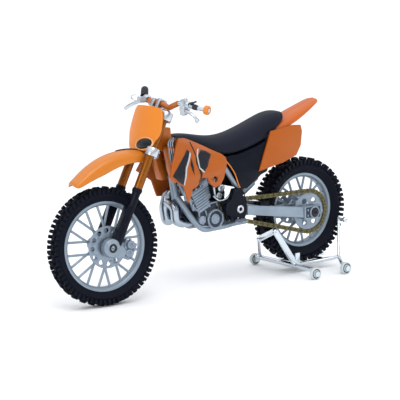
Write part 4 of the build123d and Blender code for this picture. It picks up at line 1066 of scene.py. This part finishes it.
parts = [slab(CALIPER, 5.9, 7.9, taper=0.05, place=on_front)]
for w, u in ((-9.4, 5.0), (-10.2, 0.9)):
    parts.append(round_cover(w, u, POT, sides=32, place=on_front))
for w, u in ((-7.0, 3.0), (-12.3, 3.4), (-12.6, -0.9), (-7.6, -1.8), (-8.4, 7.2)):
    parts.append(screw_head(w, u, 7.4, 8.7, 0.62, place=on_front))
make_piece("front_caliper_body", *merged(parts), engine_paint, "steering_assembly", "bright_metal",
           bevel=0.14)
make_piece("axle_carrier_right", *round_cover(0, 0, RIGHT_FOOT, sides=40, place=on_front), silver_paint,
           "steering_assembly", "silver_paint", bevel=0.15)
print("front feet and caliper made")

# %% [markdown]
# ## Handlebar and controls
# The bar dips on both sides of its clamps and sweeps back to the grips. A smooth curve through a dozen
# points gives the bends. Its bare left end carries a round orange knob.

# %% Handlebar and knob
BAR = [(21.0, -19.6, 96.0), (22.2, -16.2, 94.5), (24.8, -10.4, 94.4), (26.6, -6.0, 95.1), (27.0, -2.7, 95.3),
       (27.1, 2.7, 95.2), (27.2, 5.8, 94.8), (27.2, 9.6, 93.6), (26.9, 13.2, 94.6), (26.2, 17.4, 96.0)]
RIGHT_END = [(21.2, -18.4, 95.7), (21.4, -23.5, 96.5), (18.2, -28.6, 98.1)]
LEFT_END = [(26.3, 16.8, 95.8), (24.7, 22.0, 95.2), (22.3, 27.6, 94.0), (19.2, 33.5, 92.65)]
KNOB = [(0.9, 0.0), (1.9, 0.0), (2.2, 0.12), (2.25, 0.5), (2.2, 0.88), (1.95, 1.0), (1.3, 1.0), (1.15, 0.8),
        (0.9, 0.8)]
KNOB_LENGTH = 2.3
parts = [pipe(BAR, 1.38, 18, turned), pipe(RIGHT_END, 1.15, 16, turned)]
make_piece("bent_handlebar", *merged(parts), orange_enamel, "steering_assembly", "orange_metal",
           stands_for=["handlebar"])
make_piece("left_bar_end", *pipe(LEFT_END, 1.0, 16, turned), bright_zinc, "steering_assembly", "bright_metal")
tip = turned(*LEFT_END[3])
knob_start = tip + (turned(*LEFT_END[2]) - tip).normalized() * KNOB_LENGTH
make_piece("bar_knob_shell", *turned_form(knob_start, tip, KNOB), bright_orange_abs, "steering_assembly",
           "orange_plastic", stands_for=["left_bar_knob"], bevel=0.12)
print("handlebar made")

# %% [markdown]
# The levers are cast with their perches: a sleeve round the bar, a block, a hinge pin and the bent lever.
# A ball ends the left one, and beside it sits the dark adjuster of its cable.

# %% Left lever and its adjuster
STEM = [(0.05, 0), (0.75, 0), (0.75, 0.4), (0.45, 0.5), (0.45, 1), (0.05, 1)]
NUT = [(1.02, 0), (1.35, 0), (1.4, 0.5), (1.2, 1), (1.02, 1)]
LEFT_LEVER = [(26.4, 22.4, 92.0), (26.0, 25.2, 92.2), (24.9, 27.8, 90.8), (23.4, 29.4, 88.3)]
parts = [barrel(turned(25.2, 20.4, 95.4), turned(23.9, 24.0, 94.9), 1.9, 2.0, 0.1, bore=1.02, sides=32),
         block(turned, (23.6, 19.6, 92.4), (27.4, 23.4, 97.0), taper=0.18),
         block(turned, (25.4, 20.4, 90.6), (27.6, 24.2, 94.0), taper=0.1),
         barrel(turned(26.6, 22.6, 90.2), turned(26.6, 22.6, 94.8), 0.7, 0.9, 0.1),
         barrel(turned(25.6, 18.6, 96.8), turned(24.6, 22.4, 97.8), 0.8, 0.95, 0.2),
         pipe(LEFT_LEVER, 0.72, 14, turned),
         barrel(turned(23.9, 28.9, 88.9), turned(22.9, 29.6, 87.3), 0.6, 1.05, 0.3)]
make_piece("left_lever_and_perch", *merged(parts), bright_zinc, "steering_assembly", "bright_metal",
           stands_for=["clutch_lever"], bevel=0.12)
parts = [turned_form(turned(23.9, 24.8, 95.8), turned(22.8, 28.0, 97.0), STEM, 16),
         turned_form(turned(23.2, 26.0, 94.5), turned(22.2, 28.2, 93.9), NUT, 20)]
make_piece("lever_adjuster", *merged(parts), dark_metal, "steering_assembly", "bright_metal")
print("left lever made")

# %% [markdown]
# The right lever is plainer: a sleeve, a block, the lever and a short loop of hose. A flange and seven ribs
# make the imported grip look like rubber.

# %% Right lever and grip ribs
GRIP_RIBS = 7
FLANGE = [(1.2, 0), (2.3, 0), (2.4, 0.5), (2.1, 1), (1.2, 1)]
RIB = [(1.7, 0), (1.95, 0.1), (1.95, 0.9), (1.7, 1)]
RIGHT_LEVER = [(25.8, -20.4, 95.4), (27.8, -24.0, 94.0), (28.5, -27.6, 92.6), (28.7, -30.4, 91.3)]
HOSE = [(24.0, -22.0, 97.2), (26.2, -24.0, 98.4), (27.2, -26.6, 97.6), (26.0, -27.4, 96.0),
        (25.0, -25.4, 95.2)]
parts = [barrel(turned(21.7, -18.9, 96.0), turned(21.3, -22.3, 96.5), 1.9, 2.0, 0.1, bore=1.17, sides=32),
         block(turned, (22.6, -22.4, 94.6), (26.8, -18.6, 97.6), taper=0.2),
         pipe(RIGHT_LEVER, 0.95, 14, turned),
         pipe(HOSE, 0.3, 8, turned)]
make_piece("right_lever_and_perch", *merged(parts), bright_zinc, "steering_assembly", "bright_metal",
           stands_for=["brake_lever"], bevel=0.12)
grip_start, grip_end = turned(20.6, -24.8, 96.9), turned(15.6, -32.9, 99.35)
parts = [turned_form(turned(21.4, -23.4, 96.5), turned(20.8, -24.5, 96.8), FLANGE, 28)]
for k in range(GRIP_RIBS):
    start = grip_start.lerp(grip_end, (k + 0.1) / GRIP_RIBS)
    end = grip_start.lerp(grip_end, (k + 0.65) / GRIP_RIBS)
    parts.append(turned_form(start, end, RIB, 24))
make_piece("grip_ribs", *merged(parts), black_abs, "steering_assembly", "black_plastic")
print("right lever and", GRIP_RIBS, "ribs made")

# %% [markdown]
# Screws on the fork clamps, caps on the tubes and wipers on the legs tell how the front end is held
# together.

# %% Fork clamp screws, caps and wipers
TUBE_W, TUBE_Y = 1.8, 8.1
CAP = [(0.05, 0), (1.9, 0), (1.9, 0.7), (1.5, 1), (0.05, 1)]
STEM_NUT = [(0.05, 0), (1.7, 0), (1.7, 0.6), (1.3, 1), (0.05, 1)]
WIPER = [(2.0, 0), (2.45, 0.1), (2.5, 0.8), (2.25, 1), (2.0, 1)]
parts = [turned_form(fork(0, 0, 70.9), fork(0, 0, 71.9), STEM_NUT, 6)]
wipers = []
for y in (TUBE_Y, -TUBE_Y):
    for u in (49.2, 51.4, 67.8, 70.0):
        parts.append(round_bar(fork(-1.7, y, u), fork(-2.5, y, u), 0.6, sides=8))
    parts.append(turned_form(fork(TUBE_W, y, 71.0), fork(TUBE_W, y, 72.2), CAP, 24))
    wipers.append(turned_form(fork(TUBE_W, y, 29.2), fork(TUBE_W, y, 31.4), WIPER, 36))
make_piece("clamp_screws", *merged(parts), bright_zinc, "steering_assembly", "bright_metal")
make_piece("fork_wipers", *merged(wipers), black_abs, "steering_assembly", "black_plastic", bevel=0.1)
print("fork details made")

# %% [markdown]
# ## Tail end of the swingarm
# The arm ends in an adjuster for the chain: a block in the engine paint's dark copy, painted shade, with
# screws and a bright ring round the axle.

# %% Chain adjusters
ADJUSTER = [(-55.4, 35.2), (-65.9, 35.0), (-65.7, 29.3), (-55.4, 29.8)]
END_BAND = [(-54.6, 35.6), (-55.7, 35.6), (-55.7, 29.4), (-54.6, 29.6)]
AXLE_RING = [(2.5, 12.5), (2.5, 12.95), (2.7, 13.05), (3.1, 13.0), (3.3, 12.5)]
ARM_FACE = 12.1
dark_parts, light_parts = [], []
for side in (1, -1):
    dark_parts.append(slab(ADJUSTER, side * ARM_FACE, side * 12.55, taper=0.03))
    light_parts.append(slab(END_BAND, side * ARM_FACE, side * 12.8))
    light_parts.append(round_cover(*AXLE, on_side(AXLE_RING, side), sides=40))
    for z in (33.8, 31.0):
        light_parts.append(screw_head(-56.9, z, side * 12.5, side * 13.1, 0.6))
    y = side * 11.0
    light_parts.append(round_bar(spot(-66.4, y, 32.2), spot(-68.4, y, 32.0), 0.55, sides=10))
# the adjuster blocks wear the dark copy of the engine paint that paints shade
make_piece("chain_adjusters", *merged(dark_parts), engine_paint_in_shade, "chassis", "silver_paint", bevel=0.12)
make_piece("adjuster_screws", *merged(light_parts), engine_paint, "chassis", "bright_metal", bevel=0.06)
print("adjusters made")

# %% [markdown]
# On the rear wheel, six screws hold the chain wheel on the left and six more the disc on the right.

# %% Rear wheel screws
REAR_COLLAR = [(1.3, 8.6), (2.6, 8.6), (3.0, 8.2), (3.0, 7.9), (1.3, 7.9)]


def on_rear(x, y, z):
    return REAR_CENTRE + Vector((x, y, z))


parts = [round_cover(0, 0, REAR_COLLAR, sides=40, place=on_rear)]
parts += screw_circle((0, 0), 4.6, 6, 0.2, 7.95, 8.5, 0.6, place=on_rear)
parts += screw_circle((0, 0), 4.4, 6, 0.2, -7.45, -8.0, 0.55, place=on_rear)
make_piece("rear_wheel_screws", *merged(parts), bright_zinc, "rear_wheel", "bright_metal")
print("rear wheel screws:", len(parts) - 1)

# %% [markdown]
# ## Trim on the black side panel
# A thin orange piping follows the panel's front edge, where it meets the side panel and the frame tube.

# %% Piping
TRIM = [(-5.2, 11.45, 64.6), (-8.0, 11.35, 61.4), (-10.6, 11.25, 57.6), (-12.6, 11.2, 52.6),
        (-13.8, 11.2, 50.4)]
for side, end in ((1, "left"), (-1, "right")):
    trim = [(x, side * y, z) for x, y, z in TRIM]
    make_piece("side_piping_" + end, *pipe(trim, 0.3, 8), bright_orange_abs, "chassis", "orange_plastic")
print("piping made")

# %% [markdown]
# ## Stand
# Four small rollers of pale plastic carry the stand. Each is a turned disc with a dished face and a darker
# ring round its screw. Fillets of weld sit where the rods meet.

# %% Rollers and welds
ROLLER = [(0.9, -1.1), (1.8, -1.1), (2.0, -0.8), (2.45, -0.8), (2.7, -1.1), (2.95, -0.95), (3.1, -0.7),
          (3.1, 0.7), (2.95, 0.95), (2.7, 1.1), (2.45, 0.8), (2.0, 0.8), (1.8, 1.1), (0.9, 1.1)]
ROLLER_RING = [(1.95, -0.85), (1.95, 0.85), (2.5, 0.85), (2.5, -0.85)]
for roller in ("roller_front_left", "roller_front_right", "roller_rear_left", "roller_rear_right"):
    centre = Vector(joints[roller + "_spin"]["pos_m"]) / MM
    make_piece(roller + "_disc", *turned_ring(centre, (0, 1, 0), ROLLER, 48), roller_abs, roller + "_body",
               "roller_plastic", stands_for=[roller])
    make_piece(roller + "_ring", *turned_ring(centre, (0, 1, 0), ROLLER_RING, 48), dark_metal,
               roller + "_body", "roller_plastic")
WELDS = [(x, y, 4.7) for x in (-51.5, -72.3, -83.4) for y in (6.7, -6.7)]
WELDS += [(-50.6, 9.4, 5.6), (-37.6, 9.2, 24.6), (-34.4, 0.0, 19.6)]
parts = [barrel(spot(x - 0.9, y, z), spot(x + 0.9, y, z), 1.1, 1.5, 0.3) for x, y, z in WELDS]
make_piece("stand_welds", *merged(parts), chrome, "chassis", "chrome")
print("welds:", len(parts))
